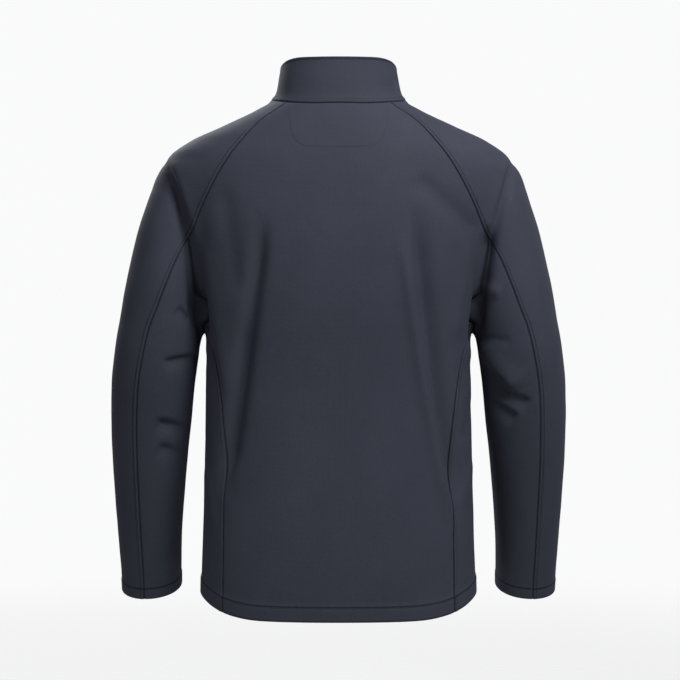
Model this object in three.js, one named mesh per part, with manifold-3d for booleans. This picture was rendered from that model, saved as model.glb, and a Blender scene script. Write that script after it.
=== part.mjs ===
// A softshell jacket as worn, hollow and held open by its own cut.
// Raglan sleeves in two pieces, a back between two shaped side seams, two fronts that wrap round the sides,
// a stand collar, and a zip from hem to collar.
// Millimetres, +Z up. The wearer faces -Y, so +X is the wearer's left. The origin is the middle of the neck,
// level with the raglan seams' top ends behind. "level" is a height above that.
import * as THREE from "three";
import { mergeVertices } from "three/addons/utils/BufferGeometryUtils.js";
import Module from "manifold-3d";

const CLOTH = 2; // bonded cloth: woven face, film and fleece back
const COLLAR_CLOTH = 3; // two layers
const HALF_GAP = 0.16; // each piece stops this far short of a seam line
const HEM_DEEP = 20;
const CUFF_HEM_DEEP = 15;
const HEM_SWELL = 1.4; // the turned hem stands this proud of the cloth above it
const CUFF_SWELL = 0.7;
const STEP_RUN = 2.5; // a hem's swell dies away over this length

// Cells along each seam, which neighbouring pieces share, and across each piece.
const CELLS = { side: 14, scye: 7, gusset: 2, raglan: 12, sleeve: 20, back: 18, front: 12, upper: 11, collar: 4 };

const table = (columns, rows) =>
  rows.map((row) => Object.fromEntries(columns.split(" ").map((name, i) => [name, row[i]])));

// The body's level sections: half width at the side line, depth behind and in front of it, and how square they are.
const BODY = table("level half back front square", [
  [20, 74, 64, 24.5, 2.0],
  [10, 93, 69.6, 31.8, 2.0],
  [3, 99, 73.3, 37.1, 2.0],
  [-4, 112, 77, 42.4, 2.02],
  [-11, 125, 80.8, 47.8, 2.04],
  [-18, 140, 84.4, 52.9, 2.06],
  [-25, 155, 87.6, 57.8, 2.09],
  [-32, 170, 90.5, 62.5, 2.12],
  [-39, 186, 93.2, 67.1, 2.14],
  [-46, 201, 95.7, 71.7, 2.17],
  [-53, 213, 98, 76.2, 2.19],
  [-60, 224, 100.2, 80.6, 2.21],
  [-67, 233, 102.3, 84.7, 2.23],
  [-76, 239, 104.6, 89.4, 2.26],
  [-88, 241, 107.2, 95.1, 2.3],
  [-100, 239, 109.4, 100.3, 2.34],
  [-118, 233, 112.1, 107, 2.4],
  [-140, 225, 114.7, 113.4, 2.47],
  [-175, 213, 117.6, 122, 2.54],
  [-215, 201, 119.2, 130, 2.59],
  [-260, 193, 118.6, 135, 2.6],
  [-300, 188, 115.8, 136.6, 2.6],
  [-340, 185, 112.2, 136, 2.6],
  [-390, 185, 109.4, 133.4, 2.6],
  [-450, 185.5, 109, 131, 2.6],
  [-520, 187, 112, 130, 2.6],
  [-600, 189, 116.8, 131, 2.6],
  [-660, 191, 119.8, 132, 2.6],
  [-720, 192, 121, 132, 2.6],
]);

// A sleeve's level sections: centre across and along, half width, half depth, and how softly it runs into the body.
const SLEEVE = table("level across along half deep blend", [
  [-84, 195, 3, 43, 46, 32],
  [-92, 198, 3, 50, 53, 30],
  [-104, 201, 2, 56, 59, 27],
  [-118, 204, 2, 58, 63, 23],
  [-136, 208, 1, 60, 66, 20],
  [-174, 216, 0, 64, 69, 15],
  [-216, 226, 0, 64, 70, 11],
  [-258, 236, 0, 63, 70, 8],
  [-300, 245, -1, 61, 68, 6],
  [-321, 250, -2, 60, 67, 6],
  [-341, 254, -3, 59, 66, 6],
  [-377, 259, -8, 58.5, 64, 6],
  [-405, 261.5, -13, 57.5, 62, 6],
  [-433, 263.5, -19, 56.5, 60, 6],
  [-490, 267, -32, 53, 57, 6],
  [-548, 269, -46, 49, 53.5, 6],
  [-610, 270, -61, 45, 49.5, 6],
  [-665, 269.5, -74, 43, 46.5, 6],
  [-720, 269, -86, 42, 45, 6],
]);
const SLEEVE_SQUARE = 2.1;

// Folds, as lines seen from behind (facing 1) or in front (facing -1): two ends, the bend's offset at its middle,
// how wide the fold is, and how far it stands out.
const FOLDS = table("facing x0 level0 x1 level1 bow wide out", [
  [1, 105, -150, 157, -505, 7, 13, -9],
  [1, 158, -110, 132, -280, 0, 14, -3],
  [1, -97, -140, -164, -560, -3, 15, -8],
  [1, -80, -150, -152, -570, -3, 12, 2],
  [1, -194, -186, -100, -102, 0, 15, -3],
  [1, 250, -70, 196, -310, 14, 15, -7],
  [1, -222, -110, -182, -320, 0, 13, -7],
  [1, 192, -347, 246, -357, -2, 15, -4],
  [1, 200, -462, 256, -437, -4, 15, -7],
  [1, -192, -345, -262, -412, 2, 16, -6],
  [-1, 60, -230, 118, -300, 6, 24, -4],
  [-1, -66, -250, -122, -310, -6, 24, -4],
  [-1, 222, -392, 280, -366, 4, 17, -6],
  [-1, -222, -372, -282, -398, -4, 17, -6],
]);

// Seams as seen from behind or in front: distance out from the middle, and level.
const RAGLAN_BACK = [[69, 2], [104.5, -25], [131, -55], [154, -87], [174.5, -123], [191, -158], [203, -187]];
const RAGLAN_FRONT = [[72, -31], [102, -62], [130, -98], [153, -134], [171, -168], [184, -202]];
const SLEEVE_BACK = [
  [218.5, -212], [235, -250], [246.5, -280], [258, -309], [267, -345], [274.6, -386],
  [278.5, -435], [279.6, -487], [279, -552], [277.4, -625], [277, -660],
];
const SIDE_BACK = [
  [156, -690], [155.7, -538], [156, -490], [157.5, -444], [160.5, -399], [165.5, -366], [172, -341],
];
const SCYE = [[195, -222], [190, -258], [185.5, -292]];
// Rough places under the arm, which then settle into the crease where sleeve and body meet.
const SIDE_TOP = [185, 20, -308];
const UNDERARM = [186, 0, -316];
const SCYE_FRONT = [[186, -34, -290], [188, -50, -250]];
const INNER_SEAM_SIDE = -0.97; // the underarm seam's place on the sleeve, as a share of its half width
const INNER_LEVELS = [-345, -390, -450, -520, -600];
const FRONT_LEVELS = [-600, -500, -400, -300, -220, -160, -110];
// Turns round the body from the side seam to the front, in radians.
const HEM_TURNS = [0.62, 0.3, -0.05, -0.4, -0.75, -1.1];
const CUFF_OUTER_TURNS = [0.6, 0, -0.7, -1.4, -2.1];
const CUFF_INNER_TURNS = [1.7, 2.4];
// Rough places on the neck seam: at the shoulder, between shoulder and front, and behind and below the front edge.
const NECK_SIDE = [96, 0, 9];
const NECK_CURVE = [42, -72, -50];
const NECK_FOOT = [-84, -66];

// The hem drops behind: how far back a point is, and how much lower the hem runs there.
const HEM_LEVEL = -672;
const HEM_DROP = table("level drop", [
  [121, 30], [108, 29], [96, 25.4], [88, 22.3], [73, 16], [58, 10], [39, 5], [20, 2], [0, 0], [-132, 6],
]);
const CUFF = { level: -679, lean: 0.32, tip: 0.06 }; // the cuff's edge lies in a plane that leans down behind

// The neck seam, by distance behind the side line, and the top edge of the collar.
const NECK_SEAM = table("level height", [
  [74, -4], [62, -1.5], [40, 3], [0, 8], [-24, -5], [-40, -16], [-57, -32], [-72, -48], [-80.5, -60],
  [-85, -66.5],
]);
const COLLAR_TOP = { half: 81, back: 69, front: 73, square: 2.2 };
const COLLAR_TOP_LEVEL = table("level height", [[69, 60], [50, 61], [22, 57], [0, 50], [-30, 33], [-73, 2]]);

const ZIP = { edge: 4.5, tape: 14, tapeThick: 0.8, teeth: 2.9, proud: 0.2, slit: 0.2, box: 10, gap: 0.3 };
const SLIDER = { wide: 10, long: 12, plate: 1.2, post: 2.2, postLong: 3, bridge: 2, arch: 7.2, rise: 3.4, bar: 1.1 };
const PULL = { wide: 8, long: 32, thick: 1.5, eye: 3.4, eyeLong: 7.4, rim: 1.5, seat: 1 };

// Reads a table at a level, smoothly between its rows, which run from the highest level down.
function smooth(rows) {
  const names = Object.keys(rows[0]);
  const last = rows.length - 1;
  const slope = (i, name) => {
    const a = rows[Math.max(i - 1, 0)];
    const b = rows[Math.min(i + 1, last)];
    return (b[name] - a[name]) / (b.level - a.level);
  };
  const slopes = rows.map((_, i) => Object.fromEntries(names.map((name) => [name, slope(i, name)])));
  return (level) => {
    if (level >= rows[0].level) return rows[0];
    if (level <= rows[last].level) return rows[last];
    const i = rows.findIndex((row) => row.level <= level) - 1;
    const run = rows[i + 1].level - rows[i].level;
    const t = (level - rows[i].level) / run;
    const rise = t * t * (3 - 2 * t);
    const made = {};
    for (const name of names) {
      made[name] =
        rows[i][name] + (rows[i + 1][name] - rows[i][name]) * rise +
        run * t * (1 - t) * ((1 - t) * slopes[i][name] - t * slopes[i + 1][name]);
    }
    return made;
  };
}
const bodyAt = smooth(BODY);
const sleeveAt = smooth(SLEEVE);
const hemDropAt = smooth(HEM_DROP);
const neckAt = smooth(NECK_SEAM);
const collarTopAt = smooth(COLLAR_TOP_LEVEL);

// How far a point lies outside a squared ellipse, measured from its centre.
function outside(x, y, half, deep, square) {
  const share = ((Math.abs(x) / half) ** square + (Math.abs(y) / deep) ** square) ** (1 / square);
  return Math.hypot(x, y) * (1 - 1 / Math.max(share, 1e-3));
}

function bodyGap(p) {
  const ring = bodyAt(p.z);
  return outside(p.x, p.y, ring.half, p.y > 0 ? ring.back : ring.front, ring.square);
}

function sleeveGap(p) {
  const ring = sleeveAt(p.z);
  const above = Math.max(p.z - SLEEVE[0].level, 0);
  return outside(Math.abs(p.x) - ring.across, p.y - ring.along, ring.half, ring.deep, SLEEVE_SQUARE) + 2 * above;
}

// How far the folds lift the cloth at a point: each fades towards its ends and sides.
function foldLift(p) {
  let lift = 0;
  for (const fold of FOLDS) {
    const run = { x: fold.x1 - fold.x0, z: fold.level1 - fold.level0 };
    const long = Math.hypot(run.x, run.z);
    const t = ((p.x - fold.x0) * run.x + (p.z - fold.level0) * run.z) / (long * long);
    const facing = THREE.MathUtils.smoothstep(p.y * fold.facing, -10, 45);
    if (t <= 0 || t >= 1 || facing === 0) continue;
    const aside = ((p.x - fold.x0) * run.z - (p.z - fold.level0) * run.x) / long - fold.bow * Math.sin(Math.PI * t);
    lift += fold.out * facing * Math.sin(Math.PI * t) * Math.exp(-((aside / fold.wide) ** 2));
  }
  return lift;
}

// The garment's outside: zero on it, positive outside. Body and sleeves run softly into each other.
function form(p) {
  const a = bodyGap(p);
  const b = sleeveGap(p);
  const { blend } = sleeveAt(p.z);
  const near = Math.max(blend - Math.abs(a - b), 0) / blend;
  return Math.min(a, b) - (near * near * blend) / 4 - foldLift(p);
}

const AXES = ["x", "y", "z"];
function slopeOf(field, p, free = AXES) {
  const step = 0.4;
  const slope = new THREE.Vector3();
  for (const axis of free) {
    const above = p.clone();
    const below = p.clone();
    above[axis] += step;
    below[axis] -= step;
    slope[axis] = (field(above) - field(below)) / (2 * step);
  }
  return slope;
}

// Moves a point onto a field's zero surface.
function settle(p, field = form, free = AXES, rounds = 12) {
  const q = p.clone();
  for (let i = 0; i < rounds; i++) {
    const value = field(q);
    if (Math.abs(value) < 1e-4) break;
    const slope = slopeOf(field, q, free);
    const move = THREE.MathUtils.clamp(value / Math.max(slope.lengthSq(), 0.05), -25, 25);
    q.addScaledVector(slope, -move);
  }
  return q;
}

// A point on the crease between sleeve and body.
function inCrease(p) {
  let q = p;
  for (let i = 0; i < 30; i++) {
    q = settle(q, (r) => bodyGap(r) - sleeveGap(r), AXES, 1);
    q = settle(q, form, AXES, 2);
  }
  return q;
}

// The point on the form seen from behind (facing 1) or from in front (facing -1).
function seen(x, level, facing) {
  let out = 220;
  let deep = out;
  while (deep > -100 && form(new THREE.Vector3(x, facing * deep, level)) > 0) deep -= 4;
  out = deep + 4;
  for (let i = 0; i < 24; i++) {
    const middle = (out + deep) / 2;
    if (form(new THREE.Vector3(x, facing * middle, level)) > 0) out = middle;
    else deep = middle;
  }
  return new THREE.Vector3(x, facing * out, level);
}

const hemLevel = (y) => HEM_LEVEL - hemDropAt(y).drop;
const cuffLevel = (p) => {
  const ring = sleeveAt(p.z);
  return CUFF.level - CUFF.lean * (p.y - ring.along) - CUFF.tip * (Math.abs(p.x) - ring.across);
};

// A point settled level by level onto an edge whose level depends on where it is.
function onEdge(p, levelAt, field) {
  let q = p.clone();
  for (let i = 0; i < 8; i++) {
    q.z = levelAt(q);
    q = settle(q, field, ["x", "y"], 6);
  }
  return q;
}
const onHem = (p) => onEdge(p, (q) => hemLevel(q.y), bodyGap);
const onCuff = (p) => onEdge(p, cuffLevel, sleeveGap);
const onNeck = (p) => onEdge(p, (q) => neckAt(q.y).height, form);

// An even run of points along a smooth line through the given ones, each put back on its surface.
function run(points, cells, place) {
  const curve = new THREE.CatmullRomCurve3(points, false, "centripetal");
  curve.arcLengthDivisions = 400;
  return curve.getSpacedPoints(cells).map((p, i) => {
    if (i === 0) return points[0].clone();
    if (i === cells) return points[points.length - 1].clone();
    return place(p);
  });
}

const vector = (x, y, z) => new THREE.Vector3(x, y, z);
const fromBehind = (rows) => rows.map(([x, level]) => seen(x, level, 1));
const fromInFront = (rows) => rows.map(([x, level]) => seen(x, level, -1));
const onForm = (p) => settle(p);

// The seams of the wearer's left side. The folds differ from side to side, so each side is worked out on its own.
function seamsOf(side) {
  const mirror = ([x, ...rest]) => [x * side, ...rest];
  const place = (row) => vector(...mirror(row));
  const [cross] = fromBehind([mirror(RAGLAN_BACK[RAGLAN_BACK.length - 1])]);
  const sideTop = inCrease(place(SIDE_TOP));
  const underarm = inCrease(place(UNDERARM));
  const scye = fromBehind(SCYE.map(mirror));
  const scyeFront = SCYE_FRONT.map((row) => inCrease(place(row)));

  const neckBack = onNeck(...fromBehind([mirror(RAGLAN_BACK[0])]));
  const neckFront = onNeck(...fromInFront([mirror(RAGLAN_FRONT[0])]));
  const raglanBack = [neckBack, ...fromBehind(RAGLAN_BACK.slice(1, -1).map(mirror)), cross];
  const frontPoints = fromInFront(RAGLAN_FRONT.slice(1).map(mirror));
  const raglanFront = [underarm, ...scyeFront, ...frontPoints.reverse(), neckFront];

  const sleeveBackPoints = fromBehind(SLEEVE_BACK.map(mirror));
  const sleeveFoot = onCuff(sleeveBackPoints[sleeveBackPoints.length - 1]);
  const sleeveBack = [cross, ...sleeveBackPoints.slice(0, -1), sleeveFoot];
  const inner = (level) => {
    const ring = sleeveAt(level);
    return vector((ring.across + INNER_SEAM_SIDE * ring.half) * side, ring.along, level);
  };
  const innerFoot = onCuff(inner(CUFF.level));
  const innerSeam = [underarm, ...INNER_LEVELS.map((level) => settle(inner(level), sleeveGap)), innerFoot];

  const sidePoints = fromBehind(SIDE_BACK.map(mirror));
  const hemFoot = onHem(sidePoints[0]);
  const sideSeam = [hemFoot, ...sidePoints.slice(1), sideTop];
  const hemRing = bodyAt(HEM_LEVEL);
  const frontFoot = onHem(vector(ZIP.edge * side, -hemRing.front, HEM_LEVEL));
  const neckFoot = onNeck(place([ZIP.edge, ...NECK_FOOT]));
  const aroundHem = HEM_TURNS.map((turn) =>
    onHem(vector(hemRing.half * Math.cos(turn) * side, hemRing.front * Math.sin(turn), HEM_LEVEL)));

  return {
    side: run(sideSeam, CELLS.side, onForm),
    scye: run([sideTop, ...scye.reverse(), cross], CELLS.scye, onForm),
    gusset: run([sideTop, underarm], CELLS.gusset, inCrease),
    raglanBack: run(raglanBack.reverse(), CELLS.raglan, onForm),
    raglanFront: run(raglanFront, CELLS.raglan, onForm),
    sleeveBack: run(sleeveBack, CELLS.sleeve, onForm),
    innerSeam: run(innerSeam, CELLS.sleeve, (p) => settle(p, sleeveGap)),
    neckShoulder: run([neckBack, onNeck(place(NECK_SIDE)), neckFront], CELLS.upper, onNeck),
    neckFrontLine: run([neckFront, onNeck(place(NECK_CURVE)), neckFoot], CELLS.front, onNeck),
    frontEdge: run(
      [frontFoot, ...FRONT_LEVELS.map((level) => seen(ZIP.edge * side, level, -1)), neckFoot],
      CELLS.side + CELLS.gusset + CELLS.raglan,
      (p) => seen(ZIP.edge * side, p.z, -1),
    ),
    hemFront: run([hemFoot, ...aroundHem, frontFoot], CELLS.front, onHem),
  };
}

const cuffRun = (from, to, turns, cells, side) => {
  const ring = sleeveAt(CUFF.level);
  const middle = turns.map((turn) =>
    onCuff(vector((ring.across + ring.half * Math.cos(turn)) * side, ring.along + ring.deep * Math.sin(turn), CUFF.level)));
  return run([from, ...middle, to], cells, onCuff);
};

// A net of points between four edges, evened out and laid on the form. The two rows that edge the hem stay put.
function net(bottom, top, left, right, raised, bulge = () => vector(0, 0, 0)) {
  const across = bottom.length - 1;
  const up = left.length - 1;
  const rows = [];
  for (let j = 0; j <= up; j++) {
    const v = j / up;
    rows.push([]);
    for (let i = 0; i <= across; i++) {
      const u = i / across;
      const p = vector(0, 0, 0)
        .addScaledVector(left[j], 1 - u)
        .addScaledVector(right[j], u)
        .addScaledVector(bottom[i], 1 - v)
        .addScaledVector(top[i], v)
        .addScaledVector(bottom[0], -(1 - u) * (1 - v))
        .addScaledVector(bottom[across], -u * (1 - v))
        .addScaledVector(top[0], -(1 - u) * v)
        .addScaledVector(top[across], -u * v)
        .add(bulge(u, v));
      rows[j].push(p);
    }
  }
  bottom.forEach((p, i) => (rows[0][i] = p.clone()));
  top.forEach((p, i) => (rows[up][i] = p.clone()));
  left.forEach((p, j) => (rows[j][0] = p.clone()));
  right.forEach((p, j) => (rows[j][across] = p.clone()));
  for (let i = 1; i < across; i++) {
    rows[1][i] = raised(bottom[i], 0);
    rows[2][i] = raised(bottom[i], STEP_RUN);
  }
  for (const row of rows.slice(3, -1)) for (let i = 1; i < across; i++) row[i] = settle(row[i], form, AXES, 20);
  for (let round = 0; round < 40; round++) {
    for (let j = 3; j < up; j++) {
      for (let i = 1; i < across; i++) {
        const around = vector(0, 0, 0)
          .add(rows[j - 1][i]).add(rows[j + 1][i]).add(rows[j][i - 1]).add(rows[j][i + 1]);
        rows[j][i] = settle(rows[j][i].lerp(around.multiplyScalar(0.25), 0.6), form, AXES, 3);
      }
    }
  }
  return rows.map((row, j) =>
    row.map((p, i) => (j > 2 && j < up && i > 0 && i < across ? settle(p) : p)));
}
const aboveHem = (p, more) => onEdge(p, (q) => hemLevel(q.y) + HEM_DEEP + more, bodyGap);
const aboveCuff = (p, more) => onEdge(p, (q) => cuffLevel(q) + CUFF_HEM_DEEP + more, sleeveGap);

// Draws a row of points in from the seam line beside it, along the surface.
function drawnIn(rows, normals, seams) {
  const up = rows.length - 1;
  const across = rows[0].length - 1;
  const at = (j, i) => rows[THREE.MathUtils.clamp(j, 0, up)][THREE.MathUtils.clamp(i, 0, across)];
  return rows.map((row, j) =>
    row.map((p, i) => {
      const moved = p.clone();
      const edges = [
        [seams.left && i === 0, at(j + 1, i), at(j - 1, i), at(j, i + 1)],
        [seams.right && i === across, at(j + 1, i), at(j - 1, i), at(j, i - 1)],
        [seams.bottom && j === 0, at(j, i + 1), at(j, i - 1), at(j + 1, i)],
        [seams.top && j === up, at(j, i + 1), at(j, i - 1), at(j - 1, i)],
      ];
      for (const [onSeam, ahead, behind, within] of edges) {
        if (!onSeam) continue;
        const along = ahead.clone().sub(behind).normalize();
        const inwards = normals[j][i].clone().cross(along).normalize();
        if (inwards.dot(within.clone().sub(p)) < 0) inwards.negate();
        moved.addScaledVector(inwards, HALF_GAP);
      }
      return moved;
    }));
}

// A closed mesh from an outer and an inner net of the same shape.
function shell(outer, inner) {
  const up = outer.length - 1;
  const across = outer[0].length - 1;
  const points = [...outer.flat(), ...inner.flat()];
  const count = outer.flat().length;
  const id = (j, i) => j * (across + 1) + i;
  const faces = [];
  const flat = (a, b, c, d) => points[a].distanceTo(points[c]) <= points[b].distanceTo(points[d]);
  const quad = (a, b, c, d) => {
    if (flat(a, b, c, d)) faces.push([a, b, c], [a, c, d]);
    else faces.push([b, c, d], [b, d, a]);
  };
  for (let j = 0; j < up; j++) {
    for (let i = 0; i < across; i++) {
      const [a, b, c, d] = [id(j, i), id(j, i + 1), id(j + 1, i + 1), id(j + 1, i)];
      quad(a, b, c, d);
      quad(d + count, c + count, b + count, a + count);
    }
  }
  const rim = [];
  for (let i = 0; i < across; i++) rim.push(id(0, i));
  for (let j = 0; j < up; j++) rim.push(id(j, across));
  for (let i = across; i > 0; i--) rim.push(id(up, i));
  for (let j = up; j > 0; j--) rim.push(id(j, 0));
  rim.forEach((a, n) => {
    const b = rim[(n + 1) % rim.length];
    quad(b, a, a + count, b + count);
  });
  return meshOf(points, faces);
}

// Geometry with its faces turned outwards.
function meshOf(points, faces) {
  const volume = faces.reduce((sum, [a, b, c]) => sum + points[a].dot(points[b].clone().cross(points[c])), 0);
  const index = faces.flatMap(([a, b, c]) => (volume > 0 ? [a, b, c] : [a, c, b]));
  return new THREE.BufferGeometry().setFromPoints(points).setIndex(index);
}

// A cloth piece: its net, thickened inwards, with the hem's swell at its bottom row.
function cloth(rows, seams, swell) {
  const normals = rows.map((row) => row.map((p) => slopeOf(form, p).normalize()));
  const laid = drawnIn(rows, normals, seams);
  const outer = laid.map((row, j) => row.map((p, i) => p.clone().addScaledVector(normals[j][i], swell(rows[j][i]))));
  const inner = laid.map((row, j) => row.map((p, i) => p.clone().addScaledVector(normals[j][i], -CLOTH)));
  return shell(outer, inner);
}
const hemSwell = (p) =>
  HEM_SWELL * THREE.MathUtils.smoothstep(hemLevel(p.y) + HEM_DEEP + STEP_RUN - p.z, 0, STEP_RUN);
const cuffSwell = (p) =>
  CUFF_SWELL * THREE.MathUtils.smoothstep(cuffLevel(p) + CUFF_HEM_DEEP + STEP_RUN - p.z, 0, STEP_RUN);

const softshell = new THREE.MeshStandardMaterial({ color: 0x343741, roughness: 0.85, metalness: 0 });
const tapeMaterial = new THREE.MeshStandardMaterial({ color: 0x24262d, roughness: 0.9, metalness: 0 });
const teethMaterial = new THREE.MeshStandardMaterial({ color: 0x1d1f24, roughness: 0.45, metalness: 0 });
const sliderMaterial = new THREE.MeshStandardMaterial({ color: 0x2a2c31, roughness: 0.35, metalness: 0.9 });

const jacket = new THREE.Group();
function add(name, geometry, material, holder = jacket) {
  const mesh = new THREE.Mesh(geometry, material);
  mesh.name = name;
  holder.add(mesh);
  return mesh;
}

// Even rows along the hem seams would blur the hem's step, so a row is moved to each side of it.
function hemRows(points, deep) {
  const moved = points.map((p) => p.clone());
  const along = (length) => {
    let left = length;
    for (let i = 0; i < points.length - 1; i++) {
      const step = points[i].distanceTo(points[i + 1]);
      if (left <= step) return points[i].clone().lerp(points[i + 1], left / step);
      left -= step;
    }
    return points[points.length - 1].clone();
  };
  moved[1] = along(deep);
  moved[2] = along(deep + STEP_RUN);
  return moved;
}

const sides = { left: seamsOf(1), right: seamsOf(-1) };
for (const seams of Object.values(sides)) {
  seams.side = hemRows(seams.side, HEM_DEEP);
  seams.frontEdge = hemRows(seams.frontEdge, HEM_DEEP);
  seams.sleeveBack = hemRows([...seams.sleeveBack].reverse(), CUFF_HEM_DEEP).reverse();
  seams.innerSeam = hemRows([...seams.innerSeam].reverse(), CUFF_HEM_DEEP).reverse();
}

// The back: hem, side seams, the back of the armholes, raglan seams and the back of the neck.
function makeBack() {
  const { left, right } = sides;
  const upSide = (seams) => [...seams.side, ...seams.scye.slice(1), ...seams.raglanBack.slice(1)];
  const hemMiddle = [-100, 0, 100].map((x) => onHem(seen(x, HEM_LEVEL, 1)));
  const hem = run([right.side[0], ...hemMiddle, left.side[0]], CELLS.back, onHem);
  const ends = [right.raglanBack[CELLS.raglan], left.raglanBack[CELLS.raglan]];
  const neck = run([ends[0], onNeck(seen(0, 0, 1)), ends[1]], CELLS.back, onNeck);
  const rows = net(hem, neck, upSide(right), upSide(left), aboveHem);
  add("back", cloth(rows, { left: true, right: true, top: true }, hemSwell), softshell);
  return neck;
}

function makeFront(name, seams) {
  const sideEdge = [...seams.side, ...seams.gusset.slice(1), ...seams.raglanFront.slice(1)];
  const rows = net(seams.hemFront, seams.neckFrontLine, sideEdge, seams.frontEdge, aboveHem);
  add(name, cloth(rows, { left: true, top: true }, hemSwell), softshell);
}

function makeSleeve(name, seams, side) {
  const foot = { back: seams.sleeveBack[CELLS.sleeve], inner: seams.innerSeam[CELLS.sleeve] };
  const backEdge = [...seams.raglanBack].reverse().concat(seams.sleeveBack.slice(1)).reverse();
  const frontEdge = [...seams.raglanFront].reverse().concat(seams.innerSeam.slice(1)).reverse();
  const cuffOuter = cuffRun(foot.back, foot.inner, CUFF_OUTER_TURNS, CELLS.upper, side);
  const outwards = (u, v) => {
    const push = vector(160 * side, 0, 130 * Math.max(v - 0.4, 0));
    return push.multiplyScalar(Math.sin(Math.PI * u) * (1 - v ** 6));
  };
  const upper = net(cuffOuter, seams.neckShoulder, backEdge, frontEdge, aboveCuff, outwards);
  add("sleeve_upper_" + name, cloth(upper, { left: true, right: true, top: true }, cuffSwell), softshell);

  const across = CELLS.scye + CELLS.gusset;
  const cuffInner = cuffRun(foot.back, foot.inner, CUFF_INNER_TURNS, across, side);
  const armhole = [...seams.scye].reverse().concat(seams.gusset.slice(1));
  const under = net(cuffInner, armhole, [...seams.sleeveBack].reverse(), [...seams.innerSeam].reverse(), aboveCuff);
  add("sleeve_under_" + name, cloth(under, { left: true, right: true, top: true }, cuffSwell), softshell);
}

// The collar stands on the neck seam and leans in to its top edge, with a flared foot.
const COLLAR_LIFT = 0.4;
const collarLean = (h) => 0.6 * h + 0.4 * (1 - (1 - h) ** 8);
function collarColumn(foot) {
  const turn = Math.atan2(foot.y, Math.abs(foot.x));
  const direction = vector(Math.cos(turn) * Math.sign(foot.x), Math.sin(turn), 0);
  const deep = foot.y > 0 ? COLLAR_TOP.back : COLLAR_TOP.front;
  const reach = 1 / ((Math.abs(direction.x) / COLLAR_TOP.half) ** COLLAR_TOP.square +
    (Math.abs(direction.y) / deep) ** COLLAR_TOP.square) ** (1 / COLLAR_TOP.square);
  const top = direction.clone().multiplyScalar(reach);
  if (Math.abs(foot.x) < ZIP.edge + 1e-6 && foot.y < 0) top.x = foot.x;
  top.z = collarTopAt(top.y).height;
  return (h) => vector(
    foot.x + (top.x - foot.x) * collarLean(h),
    foot.y + (top.y - foot.y) * collarLean(h),
    foot.z + COLLAR_LIFT + (top.z - foot.z - COLLAR_LIFT) * h,
  );
}

function makeCollar(neckBack) {
  const half = (seams) => [...seams.neckFrontLine].reverse().concat(seams.neckShoulder.slice(0, -1).reverse());
  const foot = [...half(sides.right), ...neckBack.slice(1, -1), ...half(sides.left).reverse()];
  const columns = foot.map(collarColumn);
  const heights = [0, 0.08, 0.3, 0.65, 1];
  const outer = heights.map((h) => columns.map((column) => column(h)));
  const inner = outer.map((row) => row.map((p, i) => {
    const before = row[Math.max(i - 1, 0)];
    const after = row[Math.min(i + 1, row.length - 1)];
    const inwards = vector(0, 0, 1).cross(after.clone().sub(before)).normalize();
    if (inwards.dot(p) > 0) inwards.negate();
    if (i === 0 || i === row.length - 1) inwards.set(0, 1, 0);
    return p.clone().addScaledVector(inwards, COLLAR_CLOTH);
  }));
  add("collar", shell(outer, inner), softshell);
}

// The zip's line: up the front edges and the collar's front, as stations at the middle with their outward direction.
function zipLine() {
  const up = sides.left.frontEdge.map((p) => vector(0, p.y, p.z));
  const column = collarColumn(vector(ZIP.edge, up[up.length - 1].y, up[up.length - 1].z));
  const collar = [0, 0.08, 0.3, 0.65, 1].map((h) => column(h).setX(0));
  const stations = [
    ...up.slice(0, -1).map((p) => ({ p, cloth: CLOTH, fall: 0.2 })),
    ...collar.map((p) => ({ p, cloth: COLLAR_CLOTH, fall: 1.2 })),
  ];
  return stations.map((station, i) => {
    const next = stations[Math.min(i + 1, stations.length - 1)].p;
    const along = next.clone().sub(stations[Math.max(i - 1, 0)].p).normalize();
    return { ...station, out: vector(0, -along.z, along.y) };
  });
}

// The part of the line between two lengths from its foot.
function lineBetween(line, from, to) {
  const made = [];
  let length = 0;
  const between = (a, b, t) => ({
    p: a.p.clone().lerp(b.p, t),
    out: a.out.clone().lerp(b.out, t).normalize(),
    cloth: Math.max(a.cloth, b.cloth),
    fall: Math.max(a.fall, b.fall),
  });
  for (let i = 0; i < line.length - 1; i++) {
    const step = line[i].p.distanceTo(line[i + 1].p);
    if (length >= from && length <= to) made.push(line[i]);
    if (length < from && length + step > from) made.push(between(line[i], line[i + 1], (from - length) / step));
    if (length < to && length + step > to) made.push(between(line[i], line[i + 1], (to - length) / step));
    length += step;
  }
  if (to >= length) made.push(line[line.length - 1]);
  return made;
}

// A strip along the line: how far it reaches across, and between which depths behind the cloth's face.
function strip(stations, x0, x1, low, high) {
  const outer = stations.map((s) => [x0, x1].map((x) => s.p.clone().setX(x).addScaledVector(s.out, high(s))));
  const inner = stations.map((s) => [x0, x1].map((x) => s.p.clone().setX(x).addScaledVector(s.out, low(s))));
  return shell(outer, inner);
}

const wasm = await Module();
wasm.setup();
const solidOf = (geometry) => {
  const plain = geometry.clone();
  plain.deleteAttribute("normal");
  plain.deleteAttribute("uv");
  const merged = mergeVertices(plain, 1e-3);
  return new wasm.Manifold(new wasm.Mesh({
    numProp: 3,
    vertProperties: merged.attributes.position.array,
    triVerts: new Uint32Array(merged.index.array),
  }));
};
const geometryOf = (solid) => {
  const mesh = solid.getMesh();
  return new THREE.BufferGeometry()
    .setAttribute("position", new THREE.BufferAttribute(new Float32Array(mesh.vertProperties), 3))
    .setIndex(new THREE.BufferAttribute(new Uint32Array(mesh.triVerts), 1));
};
// A block between two corners.
const block = (x0, y0, z0, x1, y1, z1) =>
  new THREE.BoxGeometry(x1 - x0, y1 - y0, z1 - z0).translate((x0 + x1) / 2, (y0 + y1) / 2, (z0 + z1) / 2);

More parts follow.
